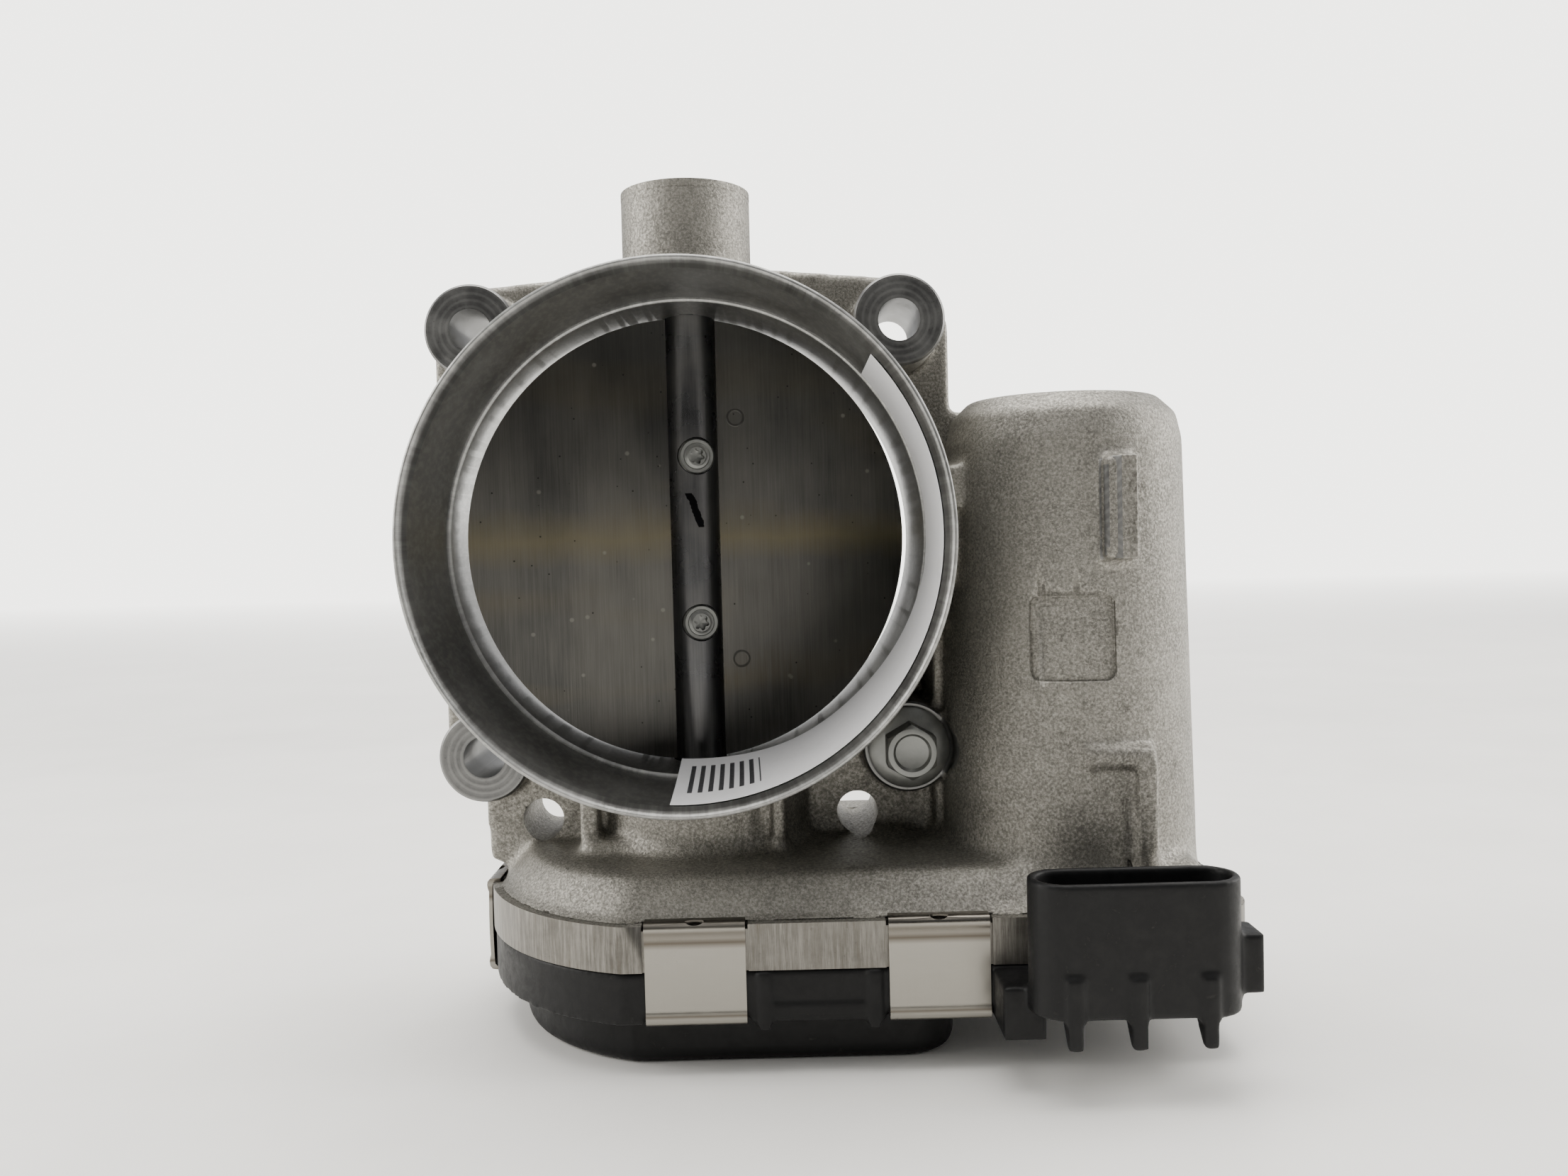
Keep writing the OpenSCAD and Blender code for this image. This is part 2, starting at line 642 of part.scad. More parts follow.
module spring_hub() {
    color("dimgray") on_shaft() {
        translate([0, 0, roof_z - 0.4]) tube(spring_pocket_r - 1.2, shaft_r + seat_gap / 2,
            hub_disc_top - roof_z + 0.4);
        translate([0, 0, hub_disc_top - 0.5]) tube(hub_sleeve_r, shaft_r + seat_gap / 2,
            spring_pocket_z - 0.3 - hub_disc_top);
    }
}

module sector_gear() {
    color("ivory") on_shaft(sector_top_z - sector_h) difference() {
        union() {
            linear_extrude(height = sector_h) difference() {
                gear_outline(sector_module, sector_teeth, train_angle, -teeth_before, teeth_after,
                    hub_r);
                circle(r = 1);
            }
            translate([0, 0, -1]) cylinder(r = hub_r, h = sector_h + 1);
        }
        translate([0, 0, -1 - e]) intersection() {
            cylinder(r = shaft_r + seat_gap, h = sector_h + 1 + 2 * e);
            cube([2 * (shaft_r - 0.8 + seat_gap), 3 * shaft_d, 3 * sector_h], center = true);
        }
        // weight-saving pocket in the sector's web
        rotate([0, 0, train_angle - 34]) translate([sector_tip_r * 0.55, 0, 1.2])
            cylinder(r = 3.2, h = sector_h);
    }
}

module sensor_magnet() {
    color("dimgray") on_shaft(sector_top_z - sector_h - 1 - magnet_h) difference() {
        cylinder(r = 7, h = magnet_h - 0.02);
        translate([0, 0, -e]) cylinder(r = 3.5, h = magnet_h - 0.5);
    }
}

module stop_screw() {
    color("silver") {
        stop_place() translate([0, 0, e - 0.1]) cylinder(r = 1.8 - seat_gap, h = 4.2);
        stop_place() translate([0, 0, e - 3.4]) cylinder(r = 2.6, h = 3.38);
    }
}

// ---------------------------------------------------------------- intermediate gear
module gear_axle() {
    color("silver") on_idler(small_bottom_z - 3.4)
        cylinder(r = axle_r - seat_gap, h = roof_z + axle_seat - small_bottom_z + 3.4);
}

module intermediate_gear() {
    color("ivory") on_idler() difference() {
        union() {
            translate([0, 0, small_top_z]) linear_extrude(height = wheel_h)
                gear_outline(wheel_module, wheel_teeth, train_angle, 0, wheel_teeth - 1, 1);
            translate([0, 0, small_bottom_z])
                linear_extrude(height = small_top_z - small_bottom_z + 0.5)
                    gear_outline(sector_module, small_teeth, train_angle + 180 + 180 / small_teeth,
                        0, small_teeth - 1, 1);
        }
        translate([0, 0, small_bottom_z - e])
            cylinder(r = axle_r + running_gap, h = wheel_top_z - small_bottom_z + 2 * e);
        translate([0, 0, wheel_top_z - 1.4]) tube(wheel_tip_r - 4.5, 7, 3);
        translate([0, 0, small_top_z - e]) tube(wheel_tip_r - 4.5, small_clear_r, 1.4 + e);
    }
}

module axle_washers() {
    color("silver") on_idler() {
        translate([0, 0, wheel_top_z + 0.1]) tube(5, axle_r + 0.05, roof_z - wheel_top_z - 0.12);
        translate([0, 0, small_bottom_z - 0.7]) tube(4.6, axle_r + 0.05, 0.6);
    }
}

// ---------------------------------------------------------------- motor
module motor_can() {
    color("silver") on_motor() difference() {
        union() {
            translate([0, 0, can_bottom_z]) cylinder(r = can_r, h = motor_can_len);
            translate([0, 0, can_top_z]) cylinder(r = 5, h = 2.5);
        }
        translate([0, 0, can_bottom_z - e]) cylinder(r = can_r - can_t, h = motor_can_len - can_t + e);
        translate([0, 0, can_top_z - 4]) cylinder(r = 3.5, h = 5.7);
    }
}

module motor_magnets() {
    color("dimgray") on_motor(core_z - 2) difference() {
        tube(can_r - can_t - seat_gap, can_r - can_t - magnet_t, core_len + 4);
        for (a = [0, 180]) rotate([0, 0, a]) translate([0, -3.5, -e]) cube([can_r, 7, core_len + 5]);
    }
}

// The end plate's outline with its two screw ears, g larger all round
module end_plate_outline(g = 0) {
    circle(r = can_r - 0.2 + g);
    for (a = motor_screw_angles) rotate(a) {
        translate([0, -motor_ear_r - g]) square([motor_screw_r, 2 * (motor_ear_r + g)]);
        translate([motor_screw_r, 0]) circle(r = motor_ear_r + g);
    }
}

module motor_screw_places(z) {
    on_motor(z) for (a = motor_screw_angles) rotate([0, 0, a])
        translate([motor_screw_r, 0, 0]) children();
}

module motor_end_plate() {
    color("gray") difference() {
        union() {
            on_motor(end_plate_z) linear_extrude(height = end_plate_t) end_plate_outline();
            on_motor(end_plate_z) cylinder(r = can_r - can_t - seat_gap, h = 4.5);
        }
        on_motor(end_plate_z - e) cylinder(r = 3, h = 10);
        motor_screw_places(end_plate_z - e) cylinder(r = motor_thread_r + 0.1, h = 3);
        on_motor(end_plate_z + 2.4) tube(can_r - can_t - 1.5, commutator_r + 4.6, 4);
    }
}

module motor_bushes() {
    color("goldenrod") on_motor() {
        translate([0, 0, end_plate_z + 0.6]) tube(3 - seat_gap, motor_shaft_r + running_gap, 3.8);
        translate([0, 0, can_top_z - 3]) tube(3.5 - seat_gap, motor_shaft_r + running_gap, 4.4);
    }
}

module motor_brushes() {
    color("dimgray") on_motor(commutator_z + 1.5) for (a = [train_angle, train_angle + 180])
        rotate([0, 0, a]) translate([commutator_r + 0.1, -1.5, 0]) cube([4, 3, 5]);
}

module motor_screws() {
    color("silver") {
        motor_screw_places(end_plate_z - 0.1) cylinder(r = motor_thread_r - seat_gap, h = 6);
        motor_screw_places(end_plate_z - motor_screw_head_h - 0.02)
            cylinder(r = motor_screw_head_r, h = motor_screw_head_h);
    }
}

module motor_support_spring() {
    color("gray") on_motor(can_top_z + 0.05) tube(can_r - 1, 6, 0.9);
}

module motor_shaft() {
    color("silver") on_motor(pinion_bottom_z - 0.4)
        cylinder(r = motor_shaft_r, h = can_top_z + 0.8 - pinion_bottom_z + 0.4);
}

module motor_armature() {
    slots = 10;
    color("gray") on_motor(core_z) linear_extrude(height = core_len) difference() {
        circle(r = armature_r);
        circle(r = motor_shaft_r + 0.01);
        for (k = [0:slots - 1]) rotate(k * 360 / slots) {
            translate([armature_r - 1.2, -0.5]) square([2, 1]);
            translate([armature_r - 3, 0]) circle(r = 1.4, $fn = 32);
        }
    }
}

module motor_windings() {
    color("peru") on_motor() {
        translate([0, 0, core_z - 3.5]) tube(armature_r - 1, commutator_r - 1, 3.45);
        translate([0, 0, core_z + core_len + 0.05]) tube(armature_r - 1, motor_shaft_r + 0.3, 3.4);
    }
}

module motor_commutator() {
    color("darkorange") on_motor(commutator_z) difference() {
        tube(commutator_r, motor_shaft_r + 0.01, 7.4);
        for (k = [0:9]) rotate([0, 0, k * 36]) translate([commutator_r - 0.6, -0.15, -e])
            cube([1, 0.3, 6]);
    }
}

module motor_pinion() {
    color("goldenrod") on_motor(pinion_bottom_z) linear_extrude(height = pinion_h) difference() {
        gear_outline(wheel_module, pinion_teeth, train_angle + 180 + 180 / pinion_teeth,
            0, pinion_teeth - 1, 1);
        circle(r = motor_shaft_r + 0.01);
    }
}

// ---------------------------------------------------------------- cover
module connector_outline(g = 0) {
    r = conn_d / 2;
    translate([conn_x, conn_y]) {
        square([conn_w - 2 * r, conn_d - 2 * g], center = true);
        for (x = [-1, 1]) translate([x * (conn_w / 2 - r), 0]) circle(r = r - g);
    }
}

module gear_cover() {
    color([0.2, 0.2, 0.22]) difference() {
        union() {
            translate([0, 0, skirt_z]) linear_extrude(height = skirt_h - 0.02)
                case_plan(cover_inset);
            // the pan's lower edge is rounded in layers
            for (a = [0:15:75]) let (low = pan_round * (1 - cos(a)))
                translate([0, 0, pan_z + low]) linear_extrude(height = pan_h - 2 - low)
                    pan_plan(pan_round * (1 - sin(a + 15)));
            cover_frame_ribs();
            connector_shell();
        }
        translate([0, 0, skirt_floor_z]) linear_extrude(height = skirt_h)
            case_plan(cover_inset + cover_wall);
        translate([0, 0, pan_floor_z]) linear_extrude(height = pan_h) pan_plan(cover_wall);
        // landings for the clips
        for (c = clip_places) translate([c[0], c[1], 0]) rotate([0, 0, c[2]]) cover_landing();
        // connector cavity
        translate([0, 0, conn_floor_z]) linear_extrude(height = conn_h) connector_outline(conn_wall);
        // passage for the pins from the case to the connector
        for (k = [0:pin_count - 1]) one_pin(k, seat_gap);
    }
    // socket inside the pan that holds the gear axle's end
    color([0.2, 0.2, 0.22]) on_idler(pan_floor_z - 0.5)
        tube(5, axle_r + 0.05, small_bottom_z - 1.2 - pan_floor_z + 0.5);
}

module cover_frame_ribs() {
    front = clip_front_y - 0.4;
    for (x = [clip_x1 + 9.2, clip_x2 - 10.6])
        translate([x, front, joint_z - 8.9]) cube([1.8, 4, 8.6]);
    translate([clip_x1 + 9.2, front + 0.4, joint_z - 6.4]) cube([clip_x2 - clip_x1 - 18, 3, 1]);
}

module cover_landing() {
    wide = clip_w + 0.8;
    translate([-wide / 2, -2, skirt_z - 2]) cube([wide, 2 + clip_seat, skirt_h + 4]);
    translate([-wide / 2, -2, skirt_z - 2]) cube([wide, 2 + clip_notch, clip_bottom_z - skirt_z + 2]);
}

module connector_shell() {
    back = clip_front_y + 2;
    translate([0, 0, conn_bottom_z]) linear_extrude(height = conn_h) connector_outline();
    // neck to the cover
    translate([conn_x - conn_w / 2 + 4, conn_y, conn_bottom_z])
        cube([conn_w - 8, back - conn_y, joint_z - 0.5 - conn_bottom_z]);
    // web at the left and tab at the right
    translate([conn_x - conn_w / 2 - 3.4, conn_y + 1, skirt_z])
        cube([6, back - conn_y - 1, joint_z - 0.4 - skirt_z]);
    translate([conn_x + conn_w / 2 - 1, conn_y - 1, conn_bottom_z + 2])
        cube([4.2, 6.5, 8.4]);
    // three feet under the front edge
    for (x = [-10.4, -1.7, 8.1]) connector_foot(conn_x + x);
}

module connector_foot(x) {
    translate([x, conn_front_y - 0.6, 0]) rotate([90, 0, 90]) linear_extrude(height = 2.1)
        polygon([
            [0, conn_bottom_z + 6], [0, conn_bottom_z - 4], [1.6, conn_bottom_z - 4],
            [5.6, conn_bottom_z + 0.5], [5.6, conn_bottom_z + 6]
        ]);
}

function pin_x(k) = conn_x + (k - (pin_count - 1) / 2) * pin_pitch;

module one_pin(k, g) {
    w = pin_w + 2 * g;
    translate([pin_x(k) - w / 2, conn_y - w / 2, pin_z - g]) {
        cube([w, clip_front_y + 8 - conn_y + 4 * g, w]);
        cube([w, w, conn_floor_z + 8 - pin_z]);
    }
}

module connector_pins() {
    color("gold") for (k = [0:pin_count - 1]) one_pin(k, 0);
}

module cover_seal() {
    color("black") translate([0, 0, joint_z]) linear_extrude(height = groove_h - 0.05) difference() {
        case_plan(groove_in + seat_gap);
        case_plan(groove_in + groove_w - seat_gap);
    }
}

module sensor_board() {
    color("darkgreen") translate([-15, shaft_y - 13, board_z]) difference() {
        cube([30, 26, 1.6]);
        for (x = [2.5, 27.5], y = [2.5, 23.5]) translate([x, y, -e]) cylinder(r = 1.2, h = 3, $fn = 32);
    }
}

module sensor_chips() {
    color("black") {
        on_shaft(board_z + 1.62) translate([-2.5, -2.5, 0]) cube([5, 5, 1]);
        translate([8, shaft_y - 9, board_z + 1.62]) cube([4, 6, 1.2]);
        translate([-11, shaft_y + 7, board_z + 1.62]) cube([3, 2, 1]);
    }
}

// Open C of spring steel, hooked over the rim above and the cover's edge below
module one_clip() {
    top = clip_top_z + clip_gap;
    bottom = clip_bottom_z - clip_gap;
    face = clip_seat - clip_gap;
    rotate([90, 0, 90]) translate([0, 0, -clip_w / 2]) linear_extrude(height = clip_w) {
        translate([face - clip_t, bottom - clip_t]) square([clip_t, top - bottom + 2 * clip_t]);
        for (z = [bottom - clip_t, top]) translate([face - clip_t, z])
            square([clip_lip + clip_t, clip_t]);
        for (z = [bottom - clip_t - 0.2, top + clip_t + 0.2])
            translate([face + clip_lip - clip_roll_r, z]) circle(r = clip_roll_r, $fn = 32);
    }
}

module retaining_clips() {
    color("gainsboro") for (c = clip_places)
        translate([c[0], c[1], 0]) rotate([0, 0, c[2]]) one_clip();
}

// ---------------------------------------------------------------- bolt and label
module mounting_bolt() {
    color("silver") translate([bolt_half, boss_y, -bolt_half]) rotate([90, 0, 0]) difference() {
        union() {
            translate([0, 0, -bolt_len])
                cylinder(r = bolt_r, h = bolt_len - boss_len - bolt_thread_start);
            translate([0, 0, -bolt_len + 1]) cylinder(r = bolt_shank_r, h = bolt_len - 0.5);
            translate([0, 0, 0.01]) cylinder(r = bolt_flange_r, h = bolt_flange_t);
            translate([0, 0, bolt_flange_t - e])
                cylinder(r = bolt_flats / sqrt(3), h = bolt_head_h - bolt_flange_t + e, $fn = 6);
        }
        translate([0, 0, bolt_head_h - bolt_dish]) cylinder(r = bolt_dish_r, h = 2);
    }
}

module inventory_label() {
    color("white") translate([0, collar_y + label_front, 0]) rotate([-90, 0, 0])
        rotate([0, 0, -label_from]) rotate_extrude(angle = label_sweep)
            translate([bore_r - label_t - 0.05, 0]) square([label_t, label_w]);
}

housing_casting();
throttle_shaft();
throttle_plate();
plate_screws();
needle_bearing_cup();
needle_rollers();
ball_bearing_outer_ring();
ball_bearing_inner_ring();
bearing_balls();
shaft_seals();
shaft_end_plug();
return_spring();
spring_hub();
sector_gear();
sensor_magnet();
stop_screw();
gear_axle();
intermediate_gear();
axle_washers();
motor_can();
motor_end_plate();
motor_magnets();
motor_bushes();
motor_brushes();
motor_screws();
motor_support_spring();
motor_shaft();
motor_armature();
motor_windings();
motor_commutator();
motor_pinion();
gear_cover();
cover_seal();
sensor_board();
sensor_chips();
connector_pins();
retaining_clips();
mounting_bolt();
inventory_label();
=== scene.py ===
"""Looks of an electronic throttle body: cast housing, cover, clips, bolt, spring and all finishes."""
import json
import math

import bpy
from bpy.props import FloatProperty, FloatVectorProperty, IntProperty, PointerProperty
from mathutils import Matrix, Vector


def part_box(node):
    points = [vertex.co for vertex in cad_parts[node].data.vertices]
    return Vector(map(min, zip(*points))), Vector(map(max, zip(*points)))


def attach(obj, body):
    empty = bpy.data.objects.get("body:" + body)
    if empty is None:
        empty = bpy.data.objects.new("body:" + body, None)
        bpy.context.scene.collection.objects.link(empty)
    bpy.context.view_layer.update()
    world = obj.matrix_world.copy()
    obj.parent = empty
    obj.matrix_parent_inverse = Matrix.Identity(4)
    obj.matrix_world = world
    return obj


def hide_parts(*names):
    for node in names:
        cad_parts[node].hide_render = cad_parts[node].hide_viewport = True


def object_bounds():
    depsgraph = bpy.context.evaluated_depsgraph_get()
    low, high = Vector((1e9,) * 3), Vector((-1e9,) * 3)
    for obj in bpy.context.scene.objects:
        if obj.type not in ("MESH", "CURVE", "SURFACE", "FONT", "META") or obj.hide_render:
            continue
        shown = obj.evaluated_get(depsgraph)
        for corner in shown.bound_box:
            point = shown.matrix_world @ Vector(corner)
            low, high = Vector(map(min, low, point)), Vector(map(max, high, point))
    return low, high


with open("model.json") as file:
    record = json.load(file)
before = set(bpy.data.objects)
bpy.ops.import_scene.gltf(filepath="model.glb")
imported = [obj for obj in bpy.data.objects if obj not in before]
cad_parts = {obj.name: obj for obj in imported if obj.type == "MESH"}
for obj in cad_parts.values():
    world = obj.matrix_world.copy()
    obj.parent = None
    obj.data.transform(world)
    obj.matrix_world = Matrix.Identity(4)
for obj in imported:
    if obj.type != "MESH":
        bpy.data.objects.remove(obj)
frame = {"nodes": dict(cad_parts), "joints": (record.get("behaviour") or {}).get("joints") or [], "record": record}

bl_info = {
    "name": "Throttle Body Looks",
    "version": (1, 0, 0),
    "blender": (4, 5, 0),
    "location": "View3D > Sidebar > Throttle Body",
    "description": "Models the visible pieces of a throttle body around its packed frame",
    "category": "Object",
}

MM = 0.001
CAD_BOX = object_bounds()
MOUNTS = {mount["name"]: mount for mount in frame["record"]["mounts"]}
JOINTS = {joint["name"]: joint for joint in frame["joints"]}

CAST_LOW, CAST_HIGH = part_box("housing_casting")
PLATE_LOW, PLATE_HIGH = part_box("throttle_plate")
CAN_LOW, CAN_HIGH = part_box("motor_can")
COLLAR_Y = CAST_LOW.y
JOINT_Z = CAST_LOW.z
TOP_Z = CAST_HIGH.z
COLLAR_R = MOUNTS["hose_collar"]["dims"]["r_mm"] * MM
COLLAR_LEN = MOUNTS["hose_collar"]["dims"]["length_mm"] * MM
BORE_R = PLATE_HIGH.z + 0.1 * MM
HOLE_R = MOUNTS["flange_hole_upper_right"]["dims"]["r_mm"] * MM
HOLE_HALF = MOUNTS["flange_hole_upper_right"]["pos_m"][0]
BOSS_Y = -MOUNTS["flange_hole_upper_right"]["dims"]["length_mm"] * MM
SHAFT_Y = JOINTS["throttle_turn"]["pos_m"][1]
MOTOR_X, MOTOR_Y = JOINTS["motor_spin"]["pos_m"][:2]
IDLER_X, IDLER_Y = JOINTS["idler_spin"]["pos_m"][:2]
PLAIN_HALF = MOUNTS["lower_plain_holes"]["dims"]["spacing_x_mm"] * MM / 2
PLAIN_Z = MOUNTS["lower_plain_holes"]["pos_m"][2]
CAN_R = (CAN_HIGH.x - CAN_LOW.x) / 2
ROOF_Z = JOINT_Z + 7 * MM
MOUTH_R = BORE_R + 0.7 * MM
MOUTH_DEPTH = 22.5 * MM
BOSS_R = 7.6 * MM
TOWER_R = 20.0 * MM
BAR_LEFT = 1.2 * MM
LARGE_FACE = 15 * MM * MM
FLANGE_BOTTOM = -HOLE_HALF - 10.2 * MM
CAST, TURNED, MILLED, FACED = range(4)


# ---------------------------------------------------------------- settings
class CastingSettings(bpy.types.PropertyGroup):
    grain: FloatProperty(name="Grain", description="Size of the blocks that the cast skin is made from",
                         default=0.62 * MM, unit="LENGTH")
    rounds: IntProperty(name="Rounds", description="How often the cast skin is smoothed", default=8)
    colour: FloatVectorProperty(name="Colour", description="Colour of the blasted aluminium",
                                default=(0.265, 0.255, 0.228), subtype="COLOR")


class CoverSettings(bpy.types.PropertyGroup):
    grain: FloatProperty(name="Grain", description="Size of the blocks that the cover is made from",
                         default=0.45 * MM, unit="LENGTH")
    rounds: IntProperty(name="Rounds", description="How often the cover is smoothed", default=4)
    colour: FloatVectorProperty(name="Colour", description="Colour of the black plastic",
                                default=(0.0032, 0.0033, 0.0036), subtype="COLOR")


class HardwareSettings(bpy.types.PropertyGroup):
    bend: FloatProperty(name="Bend", description="Radius of the clips' folded edges",
                        default=0.1 * MM, unit="LENGTH")
    thread_pitch: FloatProperty(name="Thread pitch", description="Pitch of the bolt's thread",
                                default=1.0 * MM, unit="LENGTH")
    coil_turns: IntProperty(name="Coil turns", description="Turns of the return spring", default=4)


class StageSettings(bpy.types.PropertyGroup):
    lens: FloatProperty(name="Lens", description="Focal length in millimetres", default=28.32)
    top: FloatProperty(name="Top light", description="Power of the overhead light",
                       default=11.0, unit="POWER")
    sides: FloatProperty(name="Side lights", description="Power of the lights at both sides",
                         default=3.0, unit="POWER")


# ---------------------------------------------------------------- modelling helpers
def clear_selection():
    if bpy.context.object and bpy.context.object.mode != "OBJECT":
        bpy.ops.object.mode_set(mode="OBJECT")
    bpy.ops.object.select_all(action="DESELECT")


def activate(*pieces):
    clear_selection()
    for piece in pieces:
        piece.select_set(True)
    bpy.context.view_layer.objects.active = pieces[0]


def named(name):
    piece = bpy.context.object
    piece.name = name
    piece.data.name = name
    return piece


def settle(piece):
    """Puts a piece's place into its mesh."""
    activate(piece)
    bpy.ops.object.transform_apply(location=True, rotation=True, scale=True)
    return piece


def cylinder(radius, start, end, sides=96, top_radius=None):
    """A solid cylinder or cone between two points."""
    clear_selection()
    start, end = Vector(start), Vector(end)
    turn = (end - start).to_track_quat("Z", "Y").to_euler()
    bpy.ops.mesh.primitive_cone_add(
        vertices=sides, radius1=radius, radius2=radius if top_radius is None else top_radius,
        depth=(end - start).length, location=(start + end) / 2, rotation=turn)
    return settle(bpy.context.object)


def block(low, high):
    clear_selection()
    low, high = Vector(low), Vector(high)
    bpy.ops.mesh.primitive_cube_add(size=1, location=(low + high) / 2)
    bpy.context.object.scale = high - low
    return settle(bpy.context.object)


def upright(radius, x, y, z0, z1, sides=96, top_radius=None):
    return cylinder(radius, (x, y, z0), (x, y, z1), sides, top_radius)


def along_bore(radius, x, z, y0, y1, sides=96):
    return cylinder(radius, (x, y0, z), (x, y1, z), sides)


def merged_copy(node, name):
    """A welded copy of a frame node's mesh."""
    clear_selection()
    piece = bpy.data.objects.new(name, frame["nodes"][node].data.copy())
    bpy.context.scene.collection.objects.link(piece)
    piece.data.materials.clear()
    activate(piece)
    bpy.ops.object.mode_set(mode="EDIT")
    bpy.ops.mesh.select_all(action="SELECT")
    bpy.ops.mesh.remove_doubles(threshold=1e-6)
    bpy.ops.object.mode_set(mode="OBJECT")
    return piece


def copy_of(piece, name):
    twin = piece.copy()
    twin.data = piece.data.copy()
    twin.name = name
    bpy.context.scene.collection.objects.link(twin)
    return twin


def loose_parts(node, name):
    """A node's separate solids, each as a welded piece of its own."""
    activate(merged_copy(node, name))
    bpy.ops.object.mode_set(mode="EDIT")
    bpy.ops.mesh.select_all(action="SELECT")
    bpy.ops.mesh.separate(type="LOOSE")
    bpy.ops.object.mode_set(mode="OBJECT")
    return list(bpy.context.selected_objects)


def bevel_edges(piece, offset, segments, choose):
    """Bevels the edges whose two ends choose(a, b) picks."""
    activate(piece)
    bpy.ops.object.mode_set(mode="EDIT")
    bpy.ops.mesh.select_all(action="DESELECT")
    bpy.ops.object.mode_set(mode="OBJECT")
    bpy.context.tool_settings.mesh_select_mode = (False, True, False)
    for edge in piece.data.edges:
        edge.select = choose(*(piece.data.vertices[i].co for i in edge.vertices))
    bpy.ops.object.mode_set(mode="EDIT")
    bpy.ops.mesh.bevel(offset=offset, segments=segments)
    bpy.ops.object.mode_set(mode="OBJECT")


def apply_modifier(piece, kind, **settings):
    activate(piece)
    modifier = piece.modifiers.new(kind.lower(), kind)
    for key, value in settings.items():
        setattr(modifier, key, value)
    bpy.ops.object.modifier_apply(modifier=modifier.name)
    return piece


def combine(piece, tool, operation, keep_tool=False):
    apply_modifier(piece, "BOOLEAN", object=tool, operation=operation, solver="MANIFOLD")
    if not keep_tool:
        bpy.data.objects.remove(tool)
    return piece


def fuse(pieces):
    """One closed solid from several that overlap."""
    first = pieces[0]
    for other in pieces[1:]:
        combine(first, other, "UNION")
    return first


def join(pieces):
    activate(*pieces)
    bpy.ops.object.join()
    return pieces[0]


def smooth_by_angle(piece, degrees, weighted=False, flat_material=None):
    """Large faces of the material with that index stay flat."""
    activate(piece)
    bpy.ops.object.shade_smooth_by_angle(angle=math.radians(degrees), keep_sharp_edges=False)
    for face in piece.data.polygons:
        if face.material_index == flat_material and face.area > LARGE_FACE:
            face.use_smooth = False
    if weighted:
        apply_modifier(piece, "WEIGHTED_NORMAL", weight=80, keep_sharp=True)


def add_cavity_shading(piece):
    """Stores how hollow each point's surroundings are: painted shade in corners, painted highlights on edges."""
    activate(piece)
    bpy.ops.geometry.color_attribute_add(name="dirt", domain="POINT", data_type="FLOAT_COLOR")
    bpy.ops.paint.vertex_color_dirt(blur_strength=1.0, blur_iterations=2, clean_angle=math.pi,
                                    dirt_angle=0.0, dirt_only=False, normalize=True)


def finish_piece(piece, body, slot, *nodes):
    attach(piece, body)
    if nodes:
        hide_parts(*nodes)
    return piece


def paint_faces(piece, materials, choose):
    """choose(centre, normal) gives the index of each face's material."""
    piece.data.materials.clear()
    for material in materials:
        piece.data.materials.append(material)
    for face in piece.data.polygons:
        face.material_index = choose(face.center, face.normal)


